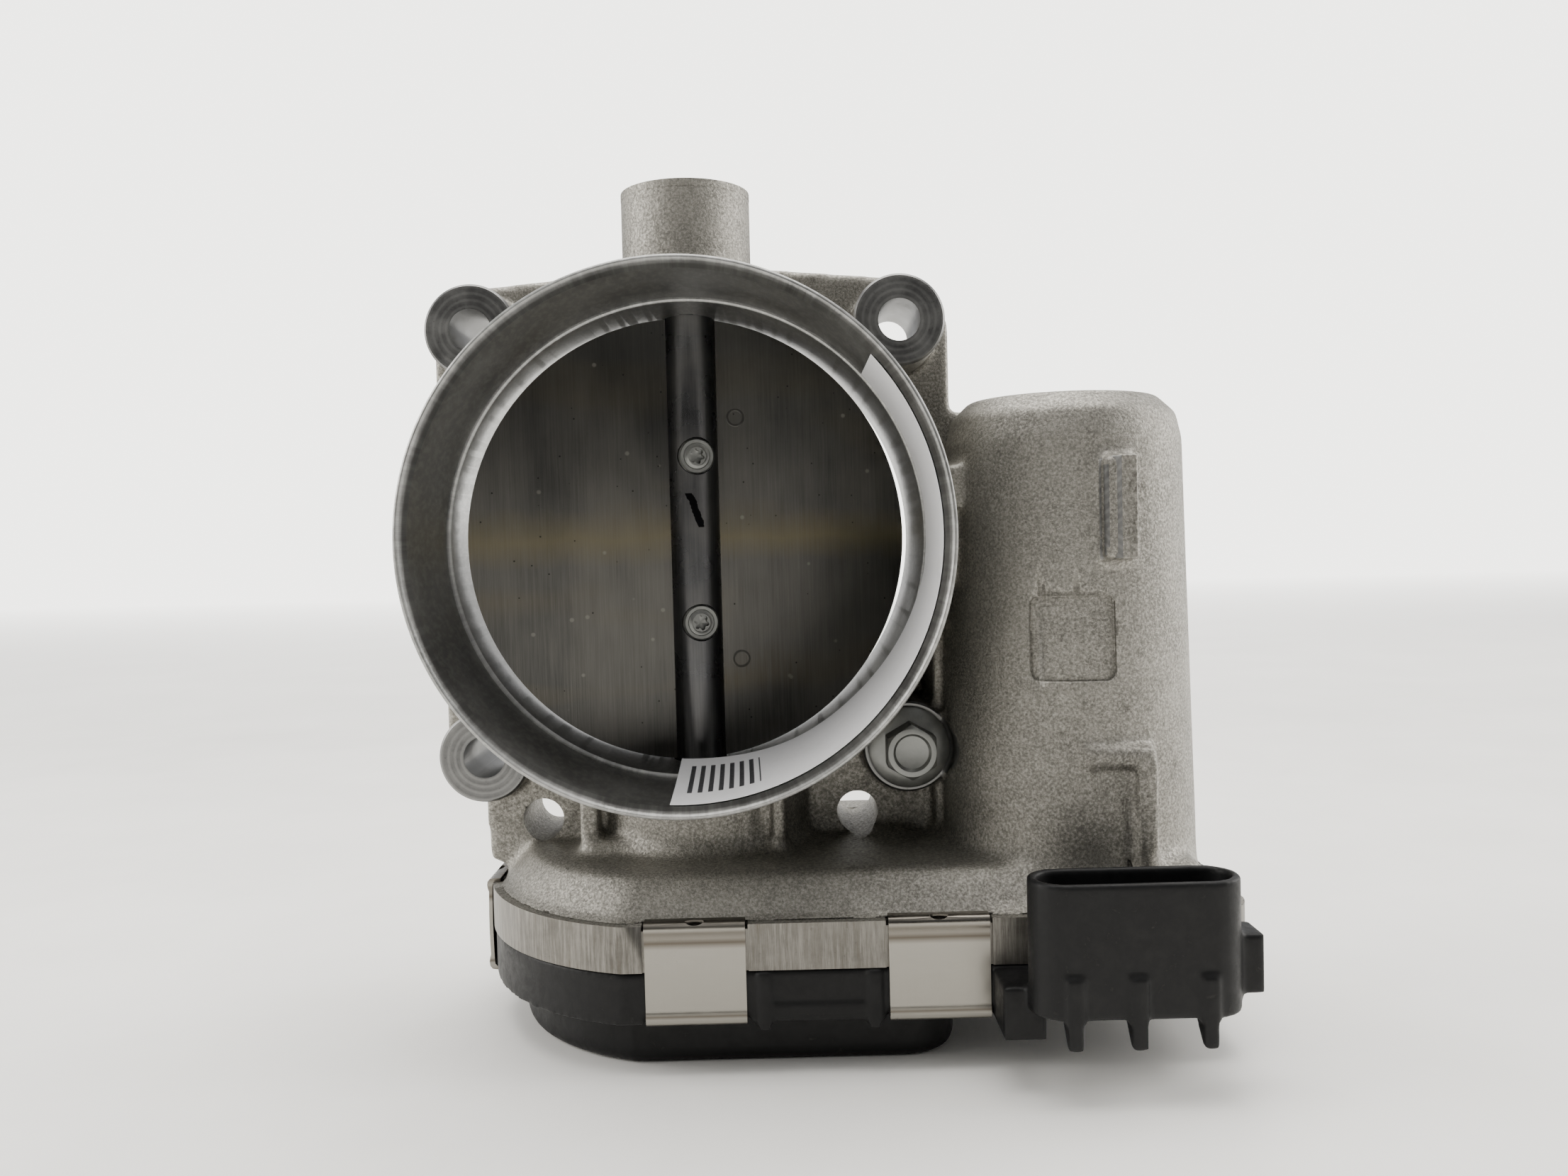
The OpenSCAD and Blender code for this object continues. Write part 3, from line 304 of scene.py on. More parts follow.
# ---------------------------------------------------------------- material helpers
class Recipe:
    """One material's nodes. Patterns sit on Object coordinates, in metres."""

    def __init__(self, name):
        self.material = bpy.data.materials.new(name)
        self.material.use_nodes = True
        self.tree = self.material.node_tree
        self.shader = self.tree.nodes["Principled BSDF"]
        self.place = self.node("ShaderNodeTexCoord").outputs["Object"]

    def node(self, kind, inputs=None, **settings):
        made = self.tree.nodes.new(kind)
        for key, value in settings.items():
            setattr(made, key, value)
        for key, value in (inputs or {}).items():
            self.feed(made.inputs[key], value)
        return made

    def feed(self, socket, value):
        if isinstance(value, bpy.types.NodeSocket):
            self.tree.links.new(value, socket)
        elif isinstance(value, tuple) and len(value) == 3 and socket.type == "RGBA":
            socket.default_value = (*value, 1)
        else:
            socket.default_value = value

    def stretched(self, scale, turn=(0, 0, 0), move=(0, 0, 0)):
        made = self.node("ShaderNodeMapping", {"Vector": self.place, "Scale": scale,
                                               "Rotation": turn, "Location": move})
        return made.outputs["Vector"]

    def noise(self, size_mm, detail=3, rough=0.6, where=None, warp=0):
        made = self.node("ShaderNodeTexNoise", {
            "Vector": where or self.place, "Scale": 1 / (size_mm * MM), "Detail": detail,
            "Roughness": rough, "Distortion": warp})
        return made.outputs["Fac"]

    def specks(self, size_mm, where=None):
        made = self.node("ShaderNodeTexVoronoi", {"Vector": where or self.place,
                                                  "Scale": 1 / (size_mm * MM)})
        return made.outputs["Distance"]

    def waves(self, size_mm, where=None, warp=0, axis="X"):
        made = self.node("ShaderNodeTexWave", {
            "Vector": where or self.place, "Scale": 1 / (size_mm * MM) / 20 * math.pi,
            "Distortion": warp}, bands_direction=axis)
        return made.outputs["Fac"]

    def ramp(self, fac, *stops):
        """stops are (place, value or colour)."""
        made = self.node("ShaderNodeValToRGB", {"Fac": fac})
        band = made.color_ramp.elements
        while len(band) < len(stops):
            band.new(0.5)
        for element, (place, value) in zip(band, stops):
            element.position = place
            element.color = (*value, 1) if isinstance(value, tuple) else (value, value, value, 1)
        return made.outputs["Color"]

    def mix(self, fac, a, b, blend="MIX"):
        made = self.node("ShaderNodeMix", data_type="RGBA", blend_type=blend)
        self.feed(made.inputs[0], fac)
        self.feed(made.inputs[6], a)
        self.feed(made.inputs[7], b)
        return made.outputs[2]

    def maths(self, operation, a, b=0.0, clamp=False):
        made = self.node("ShaderNodeMath", operation=operation, use_clamp=clamp)
        self.feed(made.inputs[0], a)
        self.feed(made.inputs[1], b)
        return made.outputs[0]

    def vector(self, operation, a, b=(0, 0, 0), output="Vector"):
        made = self.node("ShaderNodeVectorMath", {0: a, 1: b}, operation=operation)
        return made.outputs[output]

    def axis(self, name, where=None):
        made = self.node("ShaderNodeSeparateXYZ", {"Vector": where or self.place})
        return made.outputs[name]

    def attribute(self, name):
        return self.node("ShaderNodeAttribute", attribute_name=name).outputs["Fac"]

    def bump(self, height, depth_mm, strength=1.0, over=None):
        inputs = {"Height": height, "Strength": strength, "Distance": depth_mm * MM}
        if over is not None:
            inputs["Normal"] = over
        return self.node("ShaderNodeBump", inputs).outputs["Normal"]

    def done(self, colour, roughness, metallic=0.0, normal=None, **others):
        self.feed(self.shader.inputs["Base Color"], colour)
        self.feed(self.shader.inputs["Roughness"], roughness)
        self.shader.inputs["Metallic"].default_value = metallic
        if normal is not None:
            self.feed(self.shader.inputs["Normal"], normal)
        for key, value in others.items():
            self.shader.inputs[key.replace("_", " ")].default_value = value
        return self.material


def shade(colour, factor):
    return tuple(channel * factor for channel in colour)


# ---------------------------------------------------------------- finishes
def cast_aluminium(colour):
    r = Recipe("cast_aluminium")
    cloud = r.noise(16, 5, 0.65, warp=0.4)
    blotch = r.noise(4.5, 6, 0.7)
    grain = r.noise(0.42, 4, 0.75)
    base = r.mix(r.ramp(cloud, (0.3, 0.0), (0.72, 1.0)), shade(colour, 0.72), shade(colour, 1.2))
    base = r.mix(r.ramp(blotch, (0.5, 0.0), (0.75, 0.6)), base, shade(colour, 0.5))
    # bright specks: partly real grain tone, partly painted glints of the blasted surface
    base = r.mix(r.ramp(grain, (0.46, 0.0), (0.66, 0.75)), base, shade(colour, 2.1))
    base = r.mix(r.ramp(grain, (0.30, 0.6), (0.46, 0.0)), base, shade(colour, 0.3))
    stain = r.noise(9, 7, 0.8, where=r.stretched((1, 1, 0.6), move=(0.05, 0.02, 0.01)), warp=1.0)
    base = r.mix(r.ramp(stain, (0.60, 0.0), (0.68, 0.7)), base, (0.055, 0.05, 0.042))
    # painted shade: darkens the hollows and corners of the casting, where shade falls
    hollow = r.ramp(r.attribute("dirt"), (0.26, 0.2), (0.48, 0.0))
    base = r.mix(hollow, base, (0.06, 0.055, 0.048))
    # painted highlight: lightens convex edges and fillets of the casting
    edge = r.ramp(r.attribute("dirt"), (0.62, 0.0), (0.85, 0.7))
    base = r.mix(edge, base, shade(colour, 1.9))
    rough = r.ramp(grain, (0.3, 0.62), (0.7, 0.38))
    normal = r.bump(grain, 0.10, 1.0)
    normal = r.bump(r.noise(1.6, 4, 0.6), 0.14, 0.6, normal)
    return r.done(base, rough, 0.85, normal)


def turned_aluminium():
    """Bore, mouth and collar: turned in a lathe, with fine rings and dull streaks along the bore."""
    r = Recipe("turned_aluminium")
    along = r.axis("Y")
    rings = r.waves(0.22, where=r.node("ShaderNodeCombineXYZ", {"X": along}).outputs[0])
    radial = r.vector("NORMALIZE", r.place)
    streak = r.noise(1000 * 0.02, 4, 0.7, where=r.node(
        "ShaderNodeMapping", {"Vector": radial, "Scale": (1, 0.08, 1)}).outputs[0])
    cloud = r.noise(13, 4, 0.6)
    base = r.mix(r.ramp(cloud, (0.3, 0.0), (0.75, 1.0)), (0.20, 0.20, 0.195), (0.34, 0.34, 0.33))
    base = r.mix(r.ramp(streak, (0.45, 0.0), (0.62, 0.5)), base, (0.42, 0.42, 0.41))
    nick = r.noise(1.7, 6, 0.8, where=r.stretched((1, 1, 1), move=(0.3, 0.1, 0.2)))
    base = r.mix(r.ramp(nick, (0.69, 0.0), (0.72, 0.8)), base, (0.03, 0.03, 0.03))
    rough = r.ramp(cloud, (0.3, 0.30), (0.7, 0.44))
    normal = r.bump(rings, 0.012, 0.5)
    normal = r.bump(r.noise(0.6, 3, 0.6), 0.02, 0.4, normal)
    return r.done(base, rough, 0.9, normal)


def milled_aluminium():
    """Bright machined faces with close tool marks."""
    r = Recipe("milled_aluminium")
    marks = r.noise(0.45, 4, 0.75, where=r.stretched((1, 1, 0.06)))
    cloud = r.noise(7, 5, 0.7)
    base = r.mix(r.ramp(cloud, (0.3, 0.0), (0.7, 1.0)), (0.11, 0.104, 0.093), (0.20, 0.19, 0.17))
    base = r.mix(r.ramp(marks, (0.45, 0.0), (0.7, 0.6)), base, (0.34, 0.325, 0.295))
    base = r.mix(r.ramp(marks, (0.28, 0.6), (0.42, 0.0)), base, (0.10, 0.085, 0.065))
    scuff = r.noise(2.2, 6, 0.8)
    base = r.mix(r.ramp(scuff, (0.62, 0.0), (0.70, 0.55)), base, (0.07, 0.065, 0.055))
    rough = r.ramp(cloud, (0.3, 0.34), (0.75, 0.50))
    normal = r.bump(marks, 0.02, 0.6)
    normal = r.bump(r.noise(0.5, 3, 0.6), 0.02, 0.4, normal)
    return r.done(base, rough, 0.9, normal)


def faced_aluminium():
    """Boss faces and flange face: rings left by the cutter about each hole."""
    r = Recipe("faced_aluminium")
    x = r.maths("SUBTRACT", r.maths("ABSOLUTE", r.axis("X")), HOLE_HALF)
    z = r.maths("SUBTRACT", r.maths("ABSOLUTE", r.axis("Z")), HOLE_HALF)
    radius = r.maths("SQRT", r.maths("ADD", r.maths("MULTIPLY", x, x), r.maths("MULTIPLY", z, z)))
    rings = r.waves(0.55, where=r.node("ShaderNodeCombineXYZ", {"X": radius}).outputs[0], warp=0.5)
    cloud = r.noise(5, 5, 0.7)
    base = r.mix(r.ramp(cloud, (0.3, 0.0), (0.7, 1.0)), (0.10, 0.10, 0.10), (0.20, 0.20, 0.195))
    base = r.mix(r.ramp(rings, (0.4, 0.0), (0.95, 0.28)), base, (0.33, 0.33, 0.32))
    grit = r.noise(0.9, 5, 0.8)
    base = r.mix(r.ramp(grit, (0.60, 0.0), (0.70, 0.6)), base, (0.03, 0.03, 0.028))
    normal = r.bump(rings, 0.02, 0.6)
    return r.done(base, r.ramp(cloud, (0.3, 0.30), (0.7, 0.46)), 0.9, normal)


def black_plastic(colour):
    r = Recipe("black_plastic")
    cloud = r.noise(11, 4, 0.6)
    fibre = r.noise(0.5, 3, 0.7, where=r.stretched((1, 1, 0.35)))
    dust = r.noise(2.6, 7, 0.8, warp=0.6)
    base = r.mix(cloud, shade(colour, 0.75), shade(colour, 1.5))
    base = r.mix(r.ramp(dust, (0.60, 0.0), (0.76, 0.22)), base, (0.12, 0.115, 0.10))
    rough = r.ramp(dust, (0.35, 0.40), (0.7, 0.62))
    normal = r.bump(fibre, 0.03, 0.5)
    normal = r.bump(r.noise(3.2, 3, 0.5), 0.10, 0.35, normal)
    return r.done(base, rough, 0.0, normal, Specular_IOR_Level=0.24)


def dark_steel():
    """Ground throttle shaft, dark with fine lines along it and one stroke of black marker."""
    r = Recipe("dark_shaft_steel")
    line = r.noise(0.35, 3, 0.7, where=r.stretched((1, 1, 0.03)))
    cloud = r.noise(9, 4, 0.6)
    base = r.mix(line, (0.06, 0.06, 0.063), (0.15, 0.15, 0.152))
    base = r.mix(r.ramp(cloud, (0.4, 0.0), (0.7, 0.3)), base, (0.20, 0.19, 0.175))
    centre = (0.6 * MM, SHAFT_Y, 5.0 * MM)
    local = r.vector("SUBTRACT", r.place, centre)
    lean = r.maths("ADD", r.axis("X", local), r.maths("MULTIPLY", r.axis("Z", local), 0.30))
    wobble = r.maths("MULTIPLY", r.maths("SUBTRACT", r.noise(2.4, 3, 0.6), 0.5), 1.6 * MM)
    across = r.maths("ABSOLUTE", r.maths("ADD", lean, wobble))
    tall = r.maths("ABSOLUTE", r.axis("Z", local))
    inside = r.maths("MULTIPLY", r.maths("LESS_THAN", across, 0.62 * MM),
                     r.maths("LESS_THAN", tall, 2.9 * MM))
    front = r.maths("LESS_THAN", r.axis("Y", local), 0.0)
    base = r.mix(r.maths("MULTIPLY", inside, front), base, (0.004, 0.004, 0.005))
    normal = r.bump(line, 0.012, 0.5)
    return r.done(base, r.ramp(cloud, (0.3, 0.24), (0.7, 0.36)), 0.95, normal)


def brushed_plate():
    """Throttle plate: dark, brushed up and down, with a brown tint, spatter and punch marks."""
    r = Recipe("brushed_plate")
    line = r.noise(0.30, 4, 0.75, where=r.stretched((1, 1, 0.02)))
    band = r.noise(16, 3, 0.55, where=r.stretched((1.0, 1, 0.45), move=(0.02, 0, 0.013)))
    tint = r.noise(22, 2, 0.5, where=r.stretched((0.35, 1, 1.5), move=(0.4, 0, 0.1)))
    base = r.mix(r.ramp(band, (0.32, 0.0), (0.70, 1.0)), (0.06, 0.06, 0.057), (0.14, 0.135, 0.122))
    base = r.mix(r.ramp(tint, (0.50, 0.0), (0.64, 0.35)), base, (0.15, 0.125, 0.075))
    base = r.mix(r.ramp(line, (0.35, 0.0), (0.75, 0.32)), base, (0.22, 0.21, 0.195))
    height = r.maths("MULTIPLY", r.maths("ADD", r.axis("Z"), BORE_R), 0.5 / BORE_R)
    stripe = r.maths("ADD", height, r.maths("MULTIPLY", r.noise(11, 3, 0.6), 0.05))
    base = r.mix(r.ramp(stripe, (0.47, 0.0), (0.53, 0.5), (0.60, 0.0)), base, (0.20, 0.17, 0.09))
    # painted shade: the plate darkens towards its top
    base = r.mix(r.ramp(height, (0.5, 0.0), (0.95, 0.72)), base, (0.02, 0.02, 0.02))
    spatter = r.specks(5.2, where=r.stretched((1, 0.2, 1), move=(0.01, 0, 0.004)))
    base = r.mix(r.ramp(spatter, (0.05, 0.3), (0.085, 0.0)), base, (0.34, 0.33, 0.29))
    dots = r.specks(2.6, where=r.stretched((1, 0.2, 1), move=(0.21, 0, 0.33)))
    base = r.mix(r.ramp(dots, (0.045, 0.8), (0.07, 0.0)), base, (0.012, 0.012, 0.012))
    ring = None
    for height in (21.0 * MM, -21.0 * MM):
        centre = (7.6 * MM, SHAFT_Y, height)
        flat = r.vector("MULTIPLY", r.vector("SUBTRACT", r.place, centre), (1, 0, 1))
        away = r.vector("LENGTH", flat, output="Value")
        edge = r.maths("ABSOLUTE", r.maths("SUBTRACT", away, 1.35 * MM))
        mark = r.ramp(r.maths("MULTIPLY", edge, 1000), (0.08, 1.0), (0.24, 0.0))
        ring = mark if ring is None else r.maths("MAXIMUM", ring, mark)
    base = r.mix(r.maths("MULTIPLY", ring, 0.55), base, (0.02, 0.02, 0.02))
    normal = r.bump(line, 0.012, 0.6)
    normal = r.bump(ring, 0.05, 0.7, normal)
    return r.done(base, r.ramp(band, (0.3, 0.30), (0.75, 0.42)), 0.92, normal)


def zinc_steel():
    r = Recipe("zinc_steel")
    cloud = r.noise(2.4, 5, 0.7)
    grain = r.noise(0.4, 3, 0.7)
    base = r.mix(cloud, (0.15, 0.153, 0.148), (0.30, 0.305, 0.29))
    base = r.mix(r.ramp(r.noise(1.1, 6, 0.8), (0.60, 0.0), (0.72, 0.5)), base, (0.16, 0.16, 0.155))
    normal = r.bump(grain, 0.02, 0.7)
    return r.done(base, r.ramp(cloud, (0.3, 0.34), (0.7, 0.5)), 0.85, normal)


def ground_steel(name, colour, roughness, size_mm=0.4):
    """Smooth hardened or plated steel of the inner works."""
    r = Recipe(name)
    line = r.noise(size_mm, 3, 0.7, where=r.stretched((1, 1, 0.2)))
    cloud = r.noise(6, 4, 0.6)
    base = r.mix(cloud, shade(colour, 0.8), shade(colour, 1.15))
    base = r.mix(r.ramp(line, (0.4, 0.0), (0.8, 0.3)), base, shade(colour, 1.35))
    normal = r.bump(line, 0.01, 0.5)
    rough = r.ramp(cloud, (0.3, roughness * 0.85), (0.7, roughness * 1.2))
    return r.done(base, rough, 0.95, normal)


def bright_clip_steel():
    """Rolled spring steel with fine lines across the clip and a warm cast."""
    r = Recipe("bright_clip_steel")
    line = r.noise(0.35, 3, 0.7, where=r.stretched((1, 1, 0.04)))
    cloud = r.noise(8, 4, 0.6, where=r.stretched((0.4, 0.4, 1)))
    base = r.mix(cloud, (0.22, 0.21, 0.187), (0.34, 0.325, 0.29))
    base = r.mix(r.ramp(line, (0.4, 0.0), (0.8, 0.3)), base, (0.30, 0.285, 0.26))
    low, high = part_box("retaining_clips")
    height = r.maths("MULTIPLY", r.maths("SUBTRACT", r.axis("Z"), low.z), 1 / (high.z - low.z))
    shadow = r.ramp(height, (0.0, 0.5), (0.035, 0.0), (0.075, 0.0), (0.10, 0.85), (0.13, 0.0),
                    (0.74, 0.0), (0.80, 0.9), (0.84, 0.45), (0.90, 0.6), (0.93, 0.1), (0.98, 0.6))
    base = r.mix(shadow, base, (0.075, 0.062, 0.048))
    scuff = r.noise(1.6, 6, 0.8)
    base = r.mix(r.ramp(scuff, (0.66, 0.0), (0.74, 0.5)), base, (0.20, 0.19, 0.18))
    normal = r.bump(line, 0.01, 0.5)
    normal = r.bump(r.noise(5, 2, 0.5), 0.25, 0.35, normal)
    return r.done(base, r.ramp(cloud, (0.3, 0.24), (0.7, 0.38)), 1.0, normal)


def moulded(name, colour, roughness, size_mm=0.6):
    """Rubber or plastic of the inner works."""
    r = Recipe(name)
    cloud = r.noise(5, 4, 0.6)
    grain = r.noise(size_mm, 3, 0.6)
    base = r.mix(cloud, shade(colour, 0.82), shade(colour, 1.15))
    rough = r.ramp(grain, (0.3, roughness * 0.85), (0.7, min(1.0, roughness * 1.15)))
    return r.done(base, rough, 0.0, r.bump(grain, 0.03, 0.5))


def sintered(name, colour, metallic):
    r = Recipe(name)
    grain = r.noise(0.3, 4, 0.8)
    pores = r.specks(0.7)
    base = r.mix(grain, shade(colour, 0.7), shade(colour, 1.3))
    normal = r.bump(r.ramp(pores, (0.0, 0.0), (0.3, 1.0)), 0.04, 0.5)
    return r.done(base, r.ramp(grain, (0.3, 0.45), (0.7, 0.62)), metallic, normal)


def wound_copper():
    r = Recipe("wound_copper")
    turns = r.waves(0.45, axis="Z", warp=0.8)
    base = r.mix(turns, (0.28, 0.10, 0.035), (0.72, 0.34, 0.15))
    return r.done(base, r.ramp(turns, (0.2, 0.42), (0.8, 0.22)), 0.9, r.bump(turns, 0.10, 0.8))


def circuit_board():
    r = Recipe("circuit_board")
    tracks = r.node("ShaderNodeTexBrick", {
        "Vector": r.place, "Scale": 1 / (6 * MM), "Mortar Size": 0.012, "Color1": (0.01, 0.10, 0.04, 1),
        "Color2": (0.012, 0.12, 0.05, 1), "Mortar": (0.03, 0.26, 0.10, 1)}).outputs["Color"]
    grain = r.noise(0.4, 3, 0.6)
    return r.done(tracks, r.ramp(grain, (0.3, 0.22), (0.7, 0.34)), 0.0, r.bump(grain, 0.01, 0.4))


def paper_label():
    """White label with a plain grey bar pattern; it carries no writing."""
    r = Recipe("paper_label")
    fibre = r.noise(0.5, 4, 0.7)
    base = r.mix(fibre, (0.80, 0.80, 0.82), (0.90, 0.90, 0.91))
    smear = r.noise(7, 4, 0.6)
    base = r.mix(r.ramp(smear, (0.55, 0.0), (0.8, 0.35)), base, (0.70, 0.69, 0.67))
    angle = r.maths("ARCTAN2", r.axis("X"), r.maths("MULTIPLY", r.axis("Z"), -1.0))
    along = r.axis("Y")
    bars = r.maths("GREATER_THAN", r.maths("SINE", r.maths("MULTIPLY", angle, 150.0)), 0.1)
    start = r.maths("GREATER_THAN", angle, -0.02)
    stop = r.maths("LESS_THAN", angle, 0.30)
    low = r.maths("GREATER_THAN", along, COLLAR_Y + 7 * MM)
    high = r.maths("LESS_THAN", along, COLLAR_Y + 19 * MM)
    field = r.maths("MULTIPLY", r.maths("MULTIPLY", start, stop), r.maths("MULTIPLY", low, high))
    base = r.mix(r.maths("MULTIPLY", bars, field), base, (0.05, 0.05, 0.055))
    return r.done(base, r.ramp(fibre, (0.3, 0.42), (0.7, 0.6)), 0.0, r.bump(fibre, 0.01, 0.5))


# ---------------------------------------------------------------- housing
def spun_profile(name, points, axis_point, axis, steps=64):
    """A closed solid spun from (radius, height) points; the ends lie on the axis."""
    clear_selection()
    bpy.ops.mesh.primitive_plane_add(size=0.001)
    piece = named(name)
    bpy.ops.object.mode_set(mode="EDIT")
    bpy.ops.mesh.select_all(action="SELECT")
    bpy.ops.mesh.delete(type="VERT")
    bpy.ops.object.mode_set(mode="OBJECT")
    vertices = [(radius, 0, height) for radius, height in points]
    edges = [(i, i + 1) for i in range(len(points) - 1)]
    piece.data.from_pydata(vertices, edges, [])
    bpy.ops.object.mode_set(mode="EDIT")
    bpy.ops.mesh.select_all(action="SELECT")
    bpy.ops.mesh.spin(steps=steps, angle=2 * math.pi, center=(0, 0, 0), axis=(0, 0, 1))
    bpy.ops.mesh.select_all(action="SELECT")
    bpy.ops.mesh.remove_doubles(threshold=1e-6)
    bpy.ops.mesh.normals_make_consistent(inside=False)
    bpy.ops.object.mode_set(mode="OBJECT")
    turn = Vector(axis).to_track_quat("Z", "Y").to_matrix().to_4x4()
    piece.data.transform(Matrix.Translation(axis_point) @ turn)
    return piece


def crisp_zones():
    """Where the frame's own machined surface is kept."""
    past = 1 * MM
    roof = ROOF_Z - 0.5 * MM
    shaft = JOINTS["throttle_turn"]["pos_m"]
    spring_low, spring_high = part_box("return_spring")
    seal_low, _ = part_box("shaft_seals")
    cup_low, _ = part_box("needle_bearing_cup")
    stop_low, stop_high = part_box("stop_screw")
    stop = (stop_low + stop_high) / 2
    zones = [
        block((-HOLE_HALF - 11 * MM, -0.7 * MM, -HOLE_HALF - 10.4 * MM),
              (HOLE_HALF + 11 * MM, past, HOLE_HALF + 14 * MM)),
        block((CAST_LOW.x - past, COLLAR_Y, JOINT_Z - past),
              (CAST_HIGH.x + past, CAST_HIGH.y + past, ROOF_Z + 0.05 * MM)),
        upright(CAN_R + 0.95 * MM, MOTOR_X, MOTOR_Y, roof, CAN_HIGH.z + 1.2 * MM),
        upright(22.1 * MM, MOTOR_X, MOTOR_Y, roof, ROOF_Z + 1.9 * MM),
        upright((spring_high.x - spring_low.x) / 2 + 3.4 * MM, shaft[0], shaft[1], roof,
                spring_high.z + 0.9 * MM),
        upright(9.4 * MM, shaft[0], shaft[1], roof, seal_low.z + 8 * MM),
        upright(9.9 * MM, shaft[0], shaft[1], cup_low.z - 5 * MM, TOP_Z + past),
        upright(12.6 * MM, shaft[0], shaft[1], TOP_Z - 1.2 * MM, TOP_Z + past),
        upright(3.2 * MM, IDLER_X, IDLER_Y, roof, ROOF_Z + 5.4 * MM),
        upright(2.4 * MM, stop.x, stop.y, roof, stop_high.z + 0.7 * MM),
    ]
    for screw in (75, 285):
        x = MOTOR_X + (CAN_R + 2.9 * MM) * math.cos(math.radians(screw))
        y = MOTOR_Y + (CAN_R + 2.9 * MM) * math.sin(math.radians(screw))
        zones.append(upright(1.6 * MM, x, y, roof, ROOF_Z + 6.9 * MM, 24))
    return fuse(zones)


def corners():
    return [(x * HOLE_HALF, z * HOLE_HALF) for x in (-1, 1) for z in (-1, 1)]


def housing_fill():
    """Solids that fill the hollows while the skin is made."""
    fills = [
        along_bore(BORE_R + 0.9 * MM, 0, 0, COLLAR_Y + 0.3 * MM, -0.3 * MM),
        upright(CAN_R + 0.6 * MM, MOTOR_X, MOTOR_Y, ROOF_Z - 3 * MM, CAN_HIGH.z + 1 * MM),
        upright(16.4 * MM, 0, SHAFT_Y, ROOF_Z - 3 * MM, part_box("return_spring")[1].z + 0.6 * MM),
        upright(9.2 * MM, 0, SHAFT_Y, ROOF_Z - 3 * MM, TOP_Z - 0.4 * MM),
    ]
    for x in (-1, 1):
        fills.append(along_bore(HOLE_R + 0.4 * MM, x * PLAIN_HALF, PLAIN_Z, SHAFT_Y - 3.7 * MM,
                                -0.3 * MM, 32))
    for x, z in corners():
        fills.append(along_bore(HOLE_R + 0.4 * MM, x, z, BOSS_Y + 0.3 * MM, -0.3 * MM, 32))
    return fills


def housing_extras():
    """Soft cast details that the frame's solid leaves plain."""
    lug = along_bore(3.4 * MM, COLLAR_R + 2.4 * MM, 7.5 * MM, COLLAR_Y + 21 * MM, -9 * MM, 32)
    stay = block((COLLAR_R, COLLAR_Y + 23 * MM, -8 * MM), (COLLAR_R + 6 * MM, -9 * MM, 4.5 * MM))
    seat = upright(6.0 * MM, IDLER_X, IDLER_Y, ROOF_Z + 4 * MM, ROOF_Z + 7.2 * MM, 32,
                   top_radius=4.6 * MM)
    front = SHAFT_Y - 17.2 * MM
    ribs = [block((x - 1.1 * MM, front, ROOF_Z), (x + 1.1 * MM, front + 10 * MM, -BORE_R))
            for x in (-7.2 * MM, 8.0 * MM, 13.6 * MM)]
    shelf = block((-18.5 * MM, front + 1 * MM, ROOF_Z), (-6.5 * MM, front + 10 * MM,
                                                        ROOF_Z + 8.5 * MM))
    return [lug, stay, seat, shelf] + ribs


def front_bar():
    """The raised bar on the motor housing, with its slanted left side."""
    x, y, z = MOTOR_X + BAR_LEFT, MOTOR_Y - TOWER_R - 1.9 * MM, -4.6 * MM
    bar = block((x, y, z), (x + 5.2 * MM, y + 5 * MM, z + 15.6 * MM))
    bevel_edges(bar, 2.9 * MM, 1, lambda a, b: max(a.x, b.x) < x + 0.1 * MM
                and max(a.y, b.y) < y + 0.1 * MM)
    apply_modifier(bar, "BEVEL", width=0.3 * MM, segments=3)
    return bar


def square_recess():
    """Shallow square with rounded corners in the motor housing's front."""
    x, z = MOTOR_X - 9.2 * MM, -23.0 * MM
    tool = block((x, MOTOR_Y - TOWER_R - 3 * MM, z), (x + 12.6 * MM, MOTOR_Y - 12 * MM, z + 13 * MM))
    bevel_edges(tool, 1.3 * MM, 4, lambda a, b: abs(a.y - b.y) > 1 * MM)
    core = upright(TOWER_R - 0.75 * MM, MOTOR_X, MOTOR_Y, z - 3 * MM, z + 16 * MM,
                   192, top_radius=TOWER_R - 1.15 * MM)
    return combine(tool, core, "DIFFERENCE")


def soften(piece, rounds, choose):
    """Smooths only the points that choose(place) picks."""
    group = piece.vertex_groups.new(name="soft")
    group.add([vertex.index for vertex in piece.data.vertices if choose(vertex.co)], 1.0, "REPLACE")
    apply_modifier(piece, "SMOOTH", factor=0.5, iterations=rounds, vertex_group="soft")
    piece.vertex_groups.remove(piece.vertex_groups["soft"])


